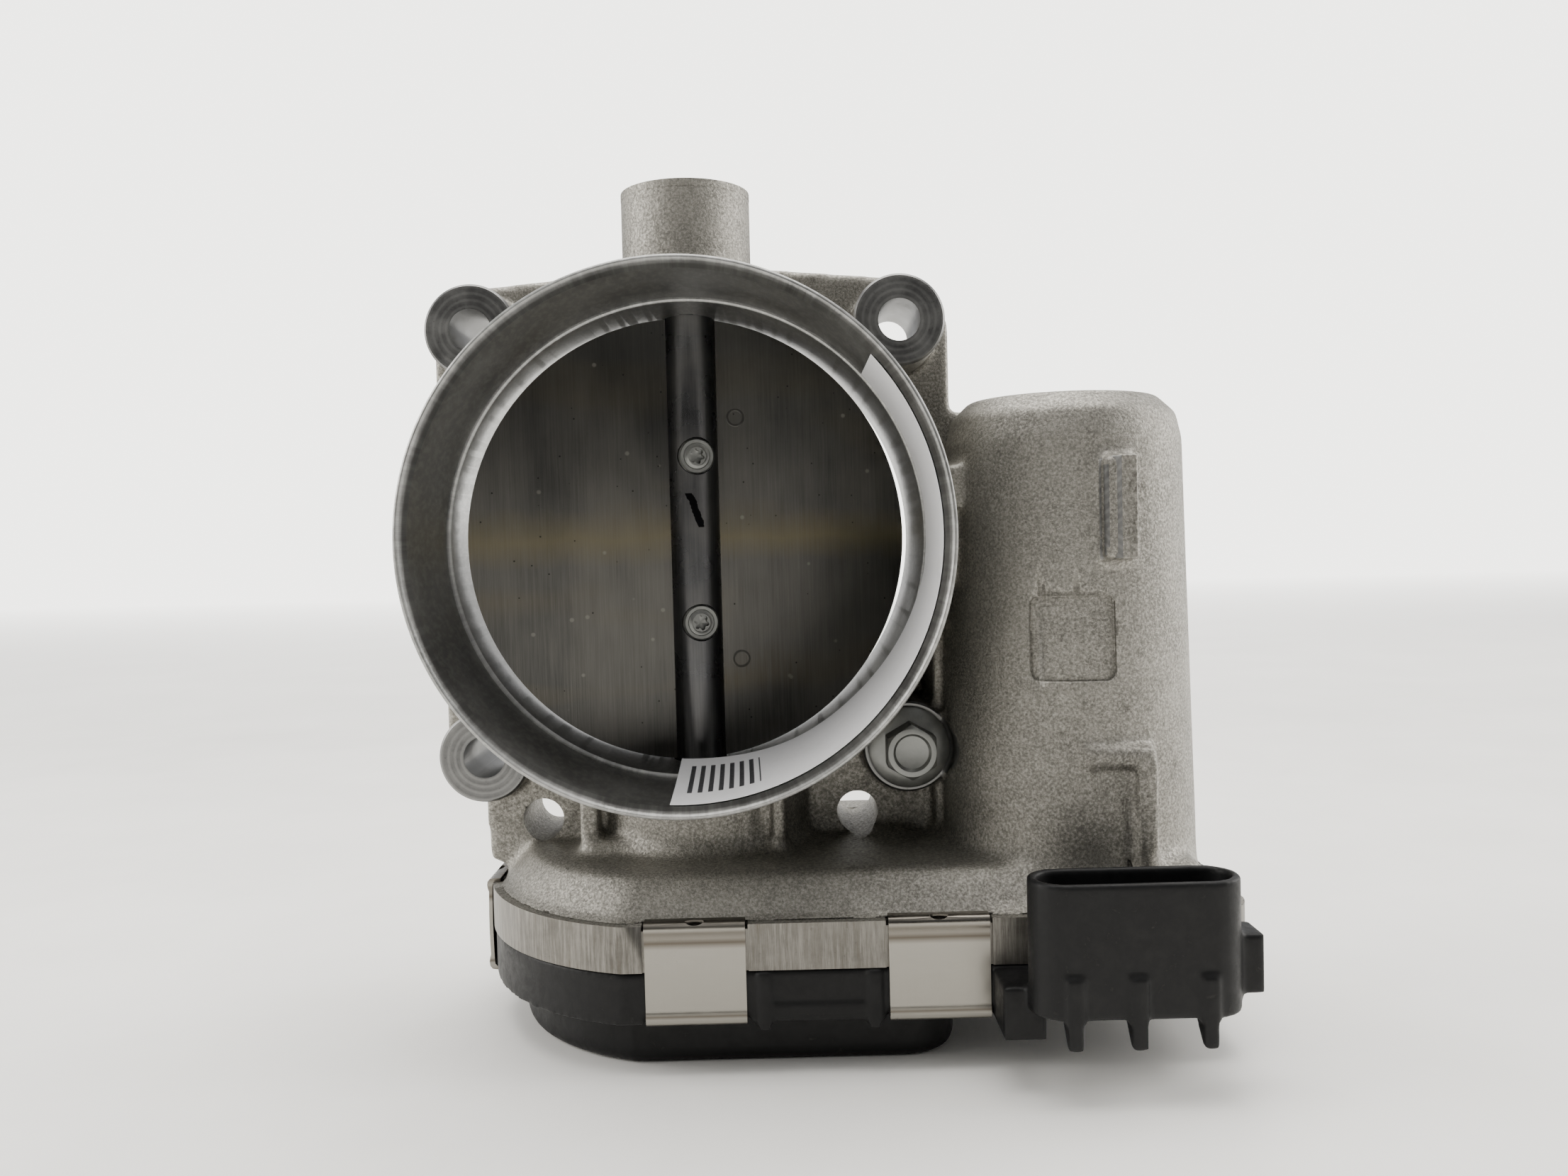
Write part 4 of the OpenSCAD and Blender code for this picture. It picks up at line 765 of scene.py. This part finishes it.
def make_housing(settings):
    crisp = merged_copy("housing_casting", "housing_crisp")
    skin = copy_of(crisp, "housing")
    join([skin] + housing_fill() + housing_extras())
    apply_modifier(skin, "REMESH", mode="VOXEL", voxel_size=settings.grain)
    apply_modifier(skin, "SMOOTH", factor=0.5, iterations=settings.rounds)
    soften(skin, 45, lambda place: ROOF_Z - 0.5 * MM < place.z < ROOF_Z + 8.5 * MM)
    apply_modifier(skin, "DECIMATE", ratio=0.42)
    zones = crisp_zones()
    combine(skin, zones, "DIFFERENCE", keep_tool=True)
    combine(crisp, zones, "INTERSECT")
    combine(skin, crisp, "UNION")
    shoulder = COLLAR_Y + COLLAR_LEN
    combine(skin, along_bore(COLLAR_R + 3 * MM, 0, 0, COLLAR_Y - 1 * MM, shoulder), "DIFFERENCE")
    collar = spun_profile("collar", [
        (0, 0), (COLLAR_R - 0.5 * MM, 0), (COLLAR_R - 0.12 * MM, 0.12 * MM), (COLLAR_R, 0.5 * MM),
        (COLLAR_R, COLLAR_LEN + 1 * MM), (0, COLLAR_LEN + 1 * MM)], (0, COLLAR_Y, 0), (0, 1, 0), 256)
    combine(skin, collar, "UNION")
    for x, z in corners():
        boss = spun_profile("boss", [
            (0, 0), (BOSS_R - 0.35 * MM, 0), (BOSS_R, 0.35 * MM), (BOSS_R, 5 * MM), (0, 5 * MM)],
            (x, BOSS_Y, z), (0, 1, 0), 96)
        combine(skin, boss, "UNION")
    combine(skin, front_bar(), "UNION")
    combine(skin, square_recess(), "DIFFERENCE")
    bore, mouth, end = BORE_R + 0.02 * MM, MOUTH_R, -COLLAR_Y + 1 * MM
    cutter = spun_profile("bore_cutter", [
        (0, -1 * MM), (mouth + 2.2 * MM, -1 * MM), (mouth, 1.2 * MM), (mouth, MOUTH_DEPTH),
        (bore + 0.25 * MM, MOUTH_DEPTH), (bore, MOUTH_DEPTH + 0.3 * MM), (bore, end), (0, end)],
        (0, COLLAR_Y, 0), (0, 1, 0), 256)
    combine(skin, cutter, "DIFFERENCE")
    for x, z in corners():
        combine(skin, along_bore(HOLE_R, x, z, BOSS_Y - 1 * MM, 1 * MM, 64), "DIFFERENCE")
    for x in (-1, 1):
        combine(skin, along_bore(HOLE_R, x * PLAIN_HALF, PLAIN_Z, SHAFT_Y - 20 * MM, 1 * MM, 64),
                "DIFFERENCE")
    skin.name = "cast_housing"
    skin.data.name = "cast_housing"
    finishes = [cast_aluminium(settings.colour), turned_aluminium(), milled_aluminium(),
                faced_aluminium()]

    def choose(centre, normal):
        radius = math.hypot(centre.x, centre.z)
        if normal.y > 0.9 and centre.y > -0.05 * MM and centre.z > FLANGE_BOTTOM:
            return FACED
        if radius < MOUTH_R + 1.3 * MM or (centre.y < shoulder + 0.02 * MM
                                           and radius < COLLAR_R + 0.02 * MM):
            return TURNED
        if centre.z < ROOF_Z - 0.02 * MM or centre.z > TOP_Z - 0.05 * MM:
            return MILLED
        off = math.hypot(abs(centre.x) - HOLE_HALF, abs(centre.z) - HOLE_HALF)
        if off < BOSS_R and centre.y < BOSS_Y + 0.3 * MM or off < HOLE_R + 0.02 * MM:
            return FACED
        slanted = normal.x < -0.5 and normal.y < -0.5 and centre.y < MOTOR_Y - TOWER_R + 1.5 * MM
        if slanted and 0 < centre.x - MOTOR_X - BAR_LEFT < 3.2 * MM and -5 * MM < centre.z < 11 * MM:
            return FACED
        return CAST

    paint_faces(skin, finishes, choose)
    smooth_by_angle(skin, 38, weighted=True, flat_material=MILLED)
    add_cavity_shading(skin)
    return finish_piece(skin, "housing", "cast_aluminium", "housing_casting")


# ---------------------------------------------------------------- cover
def make_cover(settings):
    cover = merged_copy("gear_cover", "moulded_cover")
    apply_modifier(cover, "REMESH", mode="VOXEL", voxel_size=settings.grain)
    apply_modifier(cover, "SMOOTH", factor=0.5, iterations=settings.rounds)
    apply_modifier(cover, "DECIMATE", ratio=0.4)
    paint_faces(cover, [black_plastic(settings.colour)], lambda centre, normal: 0)
    smooth_by_angle(cover, 50, weighted=True)
    return finish_piece(cover, "housing", "black_plastic", "gear_cover")


# ---------------------------------------------------------------- clips, bolt and spring
def clip_profile(height, depth, gauge):
    """Outline of a clip from the side: (outwards, upwards) from the face's lower corner."""
    bead, lip = 1.1 * MM, depth - 0.3 * MM
    outer = [(-lip, height), (-1.2 * MM, height), (-0.45 * MM, height - 0.15 * MM),
             (-0.1 * MM, height - 0.55 * MM), (0, height - 1.1 * MM),
             (-0.1 * MM, height - 1.75 * MM), (-0.28 * MM, height - 2.3 * MM),
             (-0.18 * MM, height * 0.6), (-0.18 * MM, height * 0.4),
             (-0.28 * MM, 2.6 * MM), (-0.12 * MM, 2.1 * MM), (0, 1.4 * MM), (-0.1 * MM, 0.6 * MM),
             (-0.5 * MM, 0.12 * MM), (-1.2 * MM, 0), (-lip, 0)]
    inner = [(-lip, gauge), (-1.3 * MM, gauge), (-gauge - 0.35 * MM, gauge + bead * 0.4),
             (-gauge - 0.28 * MM, 2.6 * MM), (-gauge - 0.2 * MM, height * 0.5),
             (-gauge - 0.28 * MM, height - 2.3 * MM),
             (-gauge - 0.35 * MM, height - gauge - bead * 0.4),
             (-1.3 * MM, height - gauge), (-lip, height - gauge)]
    return outer + inner


def make_clips(settings):
    """Each clip: a face with rolled beads, hooked at both ends, and an oval hole on top."""
    parts = loose_parts("retaining_clips", "clip_places")
    middle = Vector(((CAST_LOW.x + CAST_HIGH.x) / 2, SHAFT_Y, 0))
    clips = []
    for part in parts:
        spots = [vertex.co for vertex in part.data.vertices]
        low = Vector([min(spot[k] for spot in spots) for k in range(3)])
        high = Vector([max(spot[k] for spot in spots) for k in range(3)])
        centre, size = (low + high) / 2, high - low
        along_x = size.x > size.y
        width, depth = (size.x, size.y) if along_x else (size.y, size.x)
        out = Vector((0, math.copysign(1, centre.y - middle.y), 0)) if along_x else Vector(
            (math.copysign(1, centre.x - middle.x), 0, 0))
        face = centre + out * depth / 2
        clear_selection()
        bpy.ops.mesh.primitive_plane_add(size=0.001)
        clip = named("clip")
        outline = clip_profile(size.z, depth, 0.6 * MM)
        vertices = [(0, u, z) for u, z in outline]
        clip.data.clear_geometry()
        clip.data.from_pydata(vertices, [], [list(range(len(vertices)))])
        bpy.ops.object.mode_set(mode="EDIT")
        bpy.ops.mesh.select_all(action="SELECT")
        bpy.ops.mesh.extrude_region_move(TRANSFORM_OT_translate={"value": (width, 0, 0)})
        bpy.ops.mesh.select_all(action="SELECT")
        bpy.ops.mesh.normals_make_consistent(inside=False)
        bpy.ops.object.mode_set(mode="OBJECT")
        hole = upright(0.62 * MM, 0, 0, size.z - 1.5 * MM, size.z + 1 * MM, 32)
        hole.data.transform(Matrix.Translation((width / 2, -0.75 * MM, 0))
                            @ Matrix.Scale(2.3, 4, (1, 0, 0)))
        combine(clip, hole, "DIFFERENCE")
        side = Vector((out.y, -out.x, 0))
        start = face - side * width / 2
        clip.data.transform(Matrix(((side.x, out.x, 0, start.x), (side.y, out.y, 0, start.y),
                                    (0, 0, 1, low.z), (0, 0, 0, 1))))
        apply_modifier(clip, "BEVEL", width=settings.bend, segments=2, limit_method="ANGLE",
                       angle_limit=math.radians(60))
        clips.append(clip)
        bpy.data.objects.remove(part)
    clips = join(clips)
    clips.name = "spring_clips"
    clips.data.name = "spring_clips"
    paint_faces(clips, [bright_clip_steel()], lambda centre, normal: 0)
    smooth_by_angle(clips, 40, weighted=True)
    return finish_piece(clips, "housing", "clip_steel", "retaining_clips")


def make_bolt(settings):
    """Hexagon flange bolt: dished head, sloped washer, threaded tail."""
    low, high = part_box("mounting_bolt")
    centre = Vector((HOLE_HALF, BOSS_Y, -HOLE_HALF))
    head = centre.y - low.y
    flats = 8 * MM / math.sqrt(3)
    hexagon = cylinder(flats, centre - Vector((0, 1.2 * MM, 0)), (centre.x, low.y, centre.z), 6)
    rounding = spun_profile("bolt_rounding", [
        (0, 1.0 * MM), (flats + 1 * MM, 1.0 * MM), (flats + 1 * MM, head - 1.6 * MM),
        (flats - 0.7 * MM, head - 0.12 * MM), (3.1 * MM, head), (2.7 * MM, head - 0.7 * MM),
        (0, head - 0.8 * MM)], centre, (0, -1, 0))
    combine(hexagon, rounding, "INTERSECT")
    washer_r = 6.75 * MM
    washer = spun_profile("bolt_washer", [
        (0, 0.02 * MM), (washer_r - 0.2 * MM, 0.02 * MM), (washer_r, 0.25 * MM),
        (washer_r, 0.8 * MM), (washer_r - 0.4 * MM, 1.05 * MM), (5.0 * MM, 1.75 * MM),
        (0, 1.8 * MM)], centre, (0, -1, 0))
    tail = high.y - centre.y
    bolt_r = MOUNTS["supplied_bolt_tail"]["dims"]["r_mm"] * MM
    pitch = settings.thread_pitch
    count = int(18 * MM / pitch)
    profile = [(0, -0.5 * MM), (bolt_r - 0.25 * MM, -0.5 * MM)]
    start = tail - (count + 1) * pitch
    profile.append((bolt_r - 0.25 * MM, start))
    for turn in range(count):
        at = start + turn * pitch
        profile += [(bolt_r - 0.55 * MM, at + 0.15 * pitch), (bolt_r - 0.02 * MM, at + 0.5 * pitch),
                    (bolt_r - 0.02 * MM, at + 0.6 * pitch), (bolt_r - 0.55 * MM, at + 0.95 * pitch)]
    profile += [(bolt_r - 0.6 * MM, tail - 0.7 * pitch), (bolt_r - 1.1 * MM, tail), (0, tail)]
    shank = spun_profile("bolt_shank", profile, centre, (0, 1, 0), 48)
    bolt = fuse([hexagon, washer, shank])
    bolt.name = "flange_bolt"
    bolt.data.name = "flange_bolt"
    apply_modifier(bolt, "BEVEL", width=0.12 * MM, segments=2, limit_method="ANGLE",
                   angle_limit=math.radians(40))
    paint_faces(bolt, [FINISHES["zinc_steel"]], lambda centre, normal: 0)
    smooth_by_angle(bolt, 30)
    return finish_piece(bolt, "housing", "zinc_steel", "mounting_bolt")


def make_return_spring(settings):
    """Wound torsion spring with two straight legs."""
    low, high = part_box("return_spring")
    wire_r = 0.55 * MM
    radius = (high.x - low.x) / 2 - wire_r
    start, end = high.z - wire_r, low.z + wire_r
    steps = settings.coil_turns * 40
    points = []
    for step in range(steps + 1):
        angle = 2 * math.pi * settings.coil_turns * step / steps
        height = start + (end - start) * step / steps
        points.append((radius * math.cos(angle), SHAFT_Y + radius * math.sin(angle), height))
    leg = 2.4 * MM
    points.insert(0, (points[0][0] - leg, points[0][1] - 0.6 * MM, start))
    points.append((points[-1][0] - leg, points[-1][1] + 0.6 * MM, end))
    curve = bpy.data.curves.new("torsion_spring", "CURVE")
    curve.dimensions = "3D"
    curve.bevel_depth = wire_r
    curve.bevel_resolution = 4
    curve.use_fill_caps = True
    line = curve.splines.new("POLY")
    line.points.add(len(points) - 1)
    for point, place in zip(line.points, points):
        point.co = (*place, 1)
    spring = bpy.data.objects.new("torsion_spring", curve)
    bpy.context.scene.collection.objects.link(spring)
    activate(spring)
    bpy.ops.object.convert(target="MESH")
    spring = named("torsion_spring")
    paint_faces(spring, [FINISHES["spring_steel"]], lambda centre, normal: 0)
    smooth_by_angle(spring, 45)
    return finish_piece(spring, "housing", "spring_steel", "return_spring")


def make_plate_screws():
    """Round heads with a rim, a groove and a six-lobe recess."""
    parts = loose_parts("plate_screws", "screw_places")
    lean = math.radians(15)
    out = Vector((math.sin(lean), -math.cos(lean), 0))
    screws = []
    for part in parts:
        spots = [vertex.co for vertex in part.data.vertices]
        height = (min(spot.z for spot in spots) + max(spot.z for spot in spots)) / 2
        reach = [spot.dot(out) for spot in spots]
        top, length = max(reach), max(reach) - min(reach)
        across = Vector((out.y, -out.x, 0))
        offset = sum(spot.dot(across) for spot in spots) / len(spots)
        face = out * top + across * offset + Vector((0, 0, height))
        head_r = (max(spot.z for spot in spots) - min(spot.z for spot in spots)) / 2
        profile = [
            (0, 0), (1.55 * MM, 0), (1.75 * MM, 0.16 * MM), (2.15 * MM, 0.2 * MM),
            (2.3 * MM, 0.02 * MM), (head_r - 0.3 * MM, 0.0), (head_r, 0.35 * MM),
            (head_r, 1.9 * MM), (1.6 * MM, 2.3 * MM), (1.6 * MM, length - 0.3 * MM),
            (1.3 * MM, length), (0, length)]
        screw = spun_profile("screw", profile, face, -out, 96)
        recess = [spun_profile("lobe_core", [(0, -0.5 * MM), (1.02 * MM, -0.5 * MM),
                                             (1.02 * MM, 1.3 * MM), (0, 1.5 * MM)], face, -out, 32)]
        for lobe in range(6):
            turn = math.radians(60 * lobe + 15)
            shift = across * math.cos(turn) * 1.02 * MM + Vector((0, 0, 1)) * math.sin(turn) * 1.02 * MM
            recess.append(spun_profile("lobe", [(0, -0.5 * MM), (0.36 * MM, -0.5 * MM),
                                                (0.36 * MM, 1.3 * MM), (0, 1.35 * MM)],
                                       face + shift, -out, 20))
        combine(screw, fuse(recess), "DIFFERENCE")
        screws.append(screw)
        bpy.data.objects.remove(part)
    screws = join(screws)
    screws.name = "plate_screw_pair"
    screws.data.name = "plate_screw_pair"
    paint_faces(screws, [FINISHES["zinc_steel"]], lambda centre, normal: 0)
    smooth_by_angle(screws, 35)
    return finish_piece(screws, "throttle", "zinc_steel", "plate_screws")


def make_label():
    """A paper label on the mouth's wall; its lower end has come away a little."""
    low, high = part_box("inventory_label")
    clear_selection()
    bpy.ops.mesh.primitive_grid_add(x_subdivisions=96, y_subdivisions=12, size=2)
    label = named("blank_label")
    start, sweep = math.radians(-93), math.radians(135)
    front, deep = low.y, COLLAR_Y + MOUTH_DEPTH - 0.2 * MM
    for vertex in label.data.vertices:
        along, down = (vertex.co.x + 1) / 2, (vertex.co.y + 1) / 2
        angle = start + sweep * along
        lift = 3.0 * MM * max(0.0, 1 - along / 0.62) ** 0.8 * down ** 1.4
        curl = 0.35 * MM * math.sin(along * 21) * down * (1 - along)
        radius = MOUTH_R - 0.25 * MM - max(0.0, lift + curl * 0.4)
        vertex.co = (radius * math.cos(angle), front + (deep - front) * down,
                     radius * math.sin(angle))
    apply_modifier(label, "SOLIDIFY", thickness=0.12 * MM, offset=0)
    activate(label)
    bpy.ops.object.mode_set(mode="EDIT")
    bpy.ops.mesh.select_all(action="SELECT")
    bpy.ops.mesh.normals_make_consistent(inside=False)
    bpy.ops.object.mode_set(mode="OBJECT")
    paint_faces(label, [FINISHES["label"]], lambda centre, normal: 0)
    smooth_by_angle(label, 40)
    return finish_piece(label, "housing", "label_paper", "inventory_label")


# ---------------------------------------------------------------- finishes of the frame's nodes
FINISHES = {}
NODE_FINISH = {
    "throttle_shaft": "shaft_steel", "throttle_plate": "plate",
    "needle_bearing_cup": "bearing_steel", "needle_rollers": "bearing_steel",
    "ball_bearing_outer_ring": "bearing_steel", "ball_bearing_inner_ring": "bearing_steel",
    "bearing_balls": "bearing_steel", "shaft_seals": "rubber", "shaft_end_plug": "zinc_steel",
    "spring_hub": "dark_plastic", "sector_gear": "gear_plastic", "sensor_magnet": "ferrite",
    "stop_screw": "zinc_steel", "gear_axle": "bearing_steel", "intermediate_gear": "gear_plastic",
    "axle_washers": "spring_steel", "motor_can": "motor_steel", "motor_end_plate": "motor_steel",
    "motor_magnets": "ferrite", "motor_bushes": "bronze", "motor_brushes": "carbon",
    "motor_screws": "zinc_steel", "motor_support_spring": "spring_steel",
    "motor_shaft": "bearing_steel", "motor_armature": "core_steel", "motor_windings": "copper",
    "motor_commutator": "copper", "motor_pinion": "bronze", "cover_seal": "rubber",
    "sensor_board": "board", "sensor_chips": "chip", "connector_pins": "pin_tin",
}


def make_finishes():
    FINISHES.update({
        "shaft_steel": dark_steel(),
        "plate": brushed_plate(),
        "zinc_steel": zinc_steel(),
        "bearing_steel": ground_steel("bearing_steel", (0.62, 0.62, 0.62), 0.18),
        "spring_steel": ground_steel("spring_steel", (0.34, 0.33, 0.31), 0.32),
        "motor_steel": ground_steel("motor_steel", (0.48, 0.48, 0.49), 0.34, 1.2),
        "core_steel": ground_steel("core_steel", (0.30, 0.30, 0.31), 0.45, 0.5),
        "rubber": moulded("seal_rubber", (0.022, 0.022, 0.022), 0.62),
        "dark_plastic": moulded("hub_plastic", (0.03, 0.03, 0.032), 0.5),
        "gear_plastic": moulded("gear_plastic", (0.74, 0.69, 0.54), 0.42),
        "chip": moulded("chip_plastic", (0.03, 0.03, 0.03), 0.55, 0.3),
        "ferrite": sintered("ferrite", (0.06, 0.06, 0.065), 0.2),
        "carbon": sintered("carbon", (0.035, 0.033, 0.032), 0.3),
        "bronze": sintered("bronze", (0.52, 0.35, 0.16), 0.9),
        "copper": wound_copper(),
        "board": circuit_board(),
        "pin_tin": ground_steel("pin_tin", (0.75, 0.74, 0.69), 0.22),
        "label": paper_label(),
    })


def finish_nodes():
    for node, finish in NODE_FINISH.items():
        piece = frame["nodes"][node]
        if not piece.material_slots:
            piece.data.materials.append(None)
        for slot in piece.material_slots:
            slot.material = FINISHES[finish]


# ---------------------------------------------------------------- stage
def make_stage(settings):
    clear_selection()
    floor_z = CAD_BOX[0][2]
    bpy.ops.mesh.primitive_grid_add(x_subdivisions=8, y_subdivisions=8, size=12,
                                    location=(0, 0, floor_z))
    floor = settle(named("floor"))
    r = Recipe("pale_floor")
    cloud = r.noise(60, 5, 0.6)
    fibre = r.noise(1.2, 4, 0.7)
    base = r.mix(r.ramp(cloud, (0.3, 0.0), (0.7, 1.0)), (0.86, 0.85, 0.82), (0.93, 0.92, 0.89))
    glow = r.node("ShaderNodeMapRange", {"Value": r.axis("Y"), "From Min": 0.3, "From Max": 1.8,
                                         "To Min": 0.0, "To Max": 3.2})
    r.feed(r.shader.inputs["Emission Strength"], glow.outputs["Result"])
    r.feed(r.shader.inputs["Emission Color"], (1.0, 0.985, 0.935))
    floor.data.materials.append(r.done(base, r.ramp(fibre, (0.3, 0.6), (0.7, 0.8)), 0.0,
                                       r.bump(cloud, 1.2, 0.5)))

    world = bpy.data.worlds.new("studio")
    bpy.context.scene.world = world
    world.use_nodes = True
    tree = world.node_tree
    tree.nodes["Background"].inputs["Strength"].default_value = 1.0
    coords = tree.nodes.new("ShaderNodeTexCoord")
    turned = tree.nodes.new("ShaderNodeVectorMath")
    turned.operation = "DOT_PRODUCT"
    turned.inputs[1].default_value = (0.10, 0.62, 0.78)
    tree.links.new(coords.outputs["Generated"], turned.inputs[0])
    band = tree.nodes.new("ShaderNodeMapRange")
    band.interpolation_type = "SMOOTHSTEP"
    for key, value in (("From Min", -0.5), ("From Max", 0.9), ("To Min", 0.05), ("To Max", 1.0)):
        band.inputs[key].default_value = value
    tree.links.new(turned.outputs["Value"], band.inputs["Value"])
    path = tree.nodes.new("ShaderNodeLightPath")
    choice = tree.nodes.new("ShaderNodeMix")
    choice.data_type = "RGBA"
    tree.links.new(path.outputs["Is Camera Ray"], choice.inputs[0])
    tree.links.new(band.outputs["Result"], choice.inputs[6])
    choice.inputs[7].default_value = (3.9, 3.86, 3.66, 1)
    tree.links.new(choice.outputs[2], tree.nodes["Background"].inputs["Color"])

    for name, place, size, power in (
            ("top", (0.0, 0.10, 0.75), 0.8, settings.top),
            ("left", (-0.85, -0.08, 0.32), 0.6, settings.sides * 2.7),
            ("right", (0.80, 0.12, 0.28), 0.6, settings.sides * 2.2),
            ("front", (-0.25, -0.75, 0.60), 0.5, settings.sides * 0.15)):
        light = bpy.data.lights.new(name, "AREA")
        light.energy = power
        light.size = size
        light.color = (1.0, 0.975, 0.93)
        lamp = bpy.data.objects.new(name, light)
        lamp.location = place
        aim = Vector((0.02, 0, -0.01)) - lamp.location
        lamp.rotation_euler = aim.to_track_quat("-Z", "Y").to_euler()
        bpy.context.scene.collection.objects.link(lamp)

    camera_data = bpy.data.cameras.new("camera")
    camera_data.lens = settings.lens
    camera_data.sensor_width = 36
    camera_data.clip_start = 0.005
    camera = bpy.data.objects.new("camera", camera_data)
    pitch, roll = math.radians(2.182), math.radians(1.454)
    camera.matrix_world = (Matrix.Translation((15.34 * MM, -227.57 * MM, -0.62 * MM))
                           @ Matrix.Rotation(math.pi / 2 - pitch, 4, "X")
                           @ Matrix.Rotation(-roll, 4, "Z"))
    bpy.context.scene.collection.objects.link(camera)
    bpy.context.scene.camera = camera


# ---------------------------------------------------------------- operators, panel, registration
class MakeFinishes(bpy.types.Operator):
    """Make the materials and give them to the frame's own nodes"""
    bl_idname = "throttle.make_finishes"
    bl_label = "Finishes"

    def execute(self, context):
        make_finishes()
        finish_nodes()
        return {"FINISHED"}


class MakeHousing(bpy.types.Operator):
    """Model the cast housing with its machined faces"""
    bl_idname = "throttle.make_housing"
    bl_label = "Cast housing"

    def execute(self, context):
        make_housing(context.scene.throttle_casting)
        return {"FINISHED"}


class MakeCover(bpy.types.Operator):
    """Model the moulded gear cover with its connector"""
    bl_idname = "throttle.make_cover"
    bl_label = "Gear cover"

    def execute(self, context):
        make_cover(context.scene.throttle_cover)
        return {"FINISHED"}


class MakeHardware(bpy.types.Operator):
    """Model the clips, the bolt, the return spring, the plate screws and the label"""
    bl_idname = "throttle.make_hardware"
    bl_label = "Clips, screws, spring and label"

    def execute(self, context):
        settings = context.scene.throttle_hardware
        make_clips(settings)
        make_bolt(settings)
        make_return_spring(settings)
        make_plate_screws()
        make_label()
        return {"FINISHED"}


class MakeStage(bpy.types.Operator):
    """Set up the floor, the lights and the camera"""
    bl_idname = "throttle.make_stage"
    bl_label = "Stage"

    def execute(self, context):
        make_stage(context.scene.throttle_stage)
        return {"FINISHED"}


class ThrottlePanel(bpy.types.Panel):
    bl_idname = "VIEW3D_PT_throttle_body"
    bl_label = "Throttle Body"
    bl_space_type = "VIEW_3D"
    bl_region_type = "UI"
    bl_category = "Throttle Body"

    def draw(self, context):
        for operator in OPERATORS:
            self.layout.operator(operator.bl_idname)
        for group in SETTINGS:
            box = self.layout.box()
            settings = getattr(context.scene, group)
            for name in settings.bl_rna.properties.keys():
                if name not in ("rna_type", "name"):
                    box.prop(settings, name)


OPERATORS = (MakeFinishes, MakeHousing, MakeCover, MakeHardware, MakeStage)
SETTINGS = {
    "throttle_casting": CastingSettings,
    "throttle_cover": CoverSettings,
    "throttle_hardware": HardwareSettings,
    "throttle_stage": StageSettings,
}


def register():
    for name, group in SETTINGS.items():
        bpy.utils.register_class(group)
        setattr(bpy.types.Scene, name, PointerProperty(type=group))
    for operator in OPERATORS:
        bpy.utils.register_class(operator)
    bpy.utils.register_class(ThrottlePanel)


def unregister():
    bpy.utils.unregister_class(ThrottlePanel)
    for operator in reversed(OPERATORS):
        bpy.utils.unregister_class(operator)
    for name, group in SETTINGS.items():
        delattr(bpy.types.Scene, name)
        bpy.utils.unregister_class(group)


def main():
    register()
    bpy.ops.throttle.make_finishes()
    bpy.ops.throttle.make_housing()
    bpy.ops.throttle.make_cover()
    bpy.ops.throttle.make_hardware()
    bpy.ops.throttle.make_stage()


if __name__ == "__main__":
    main()
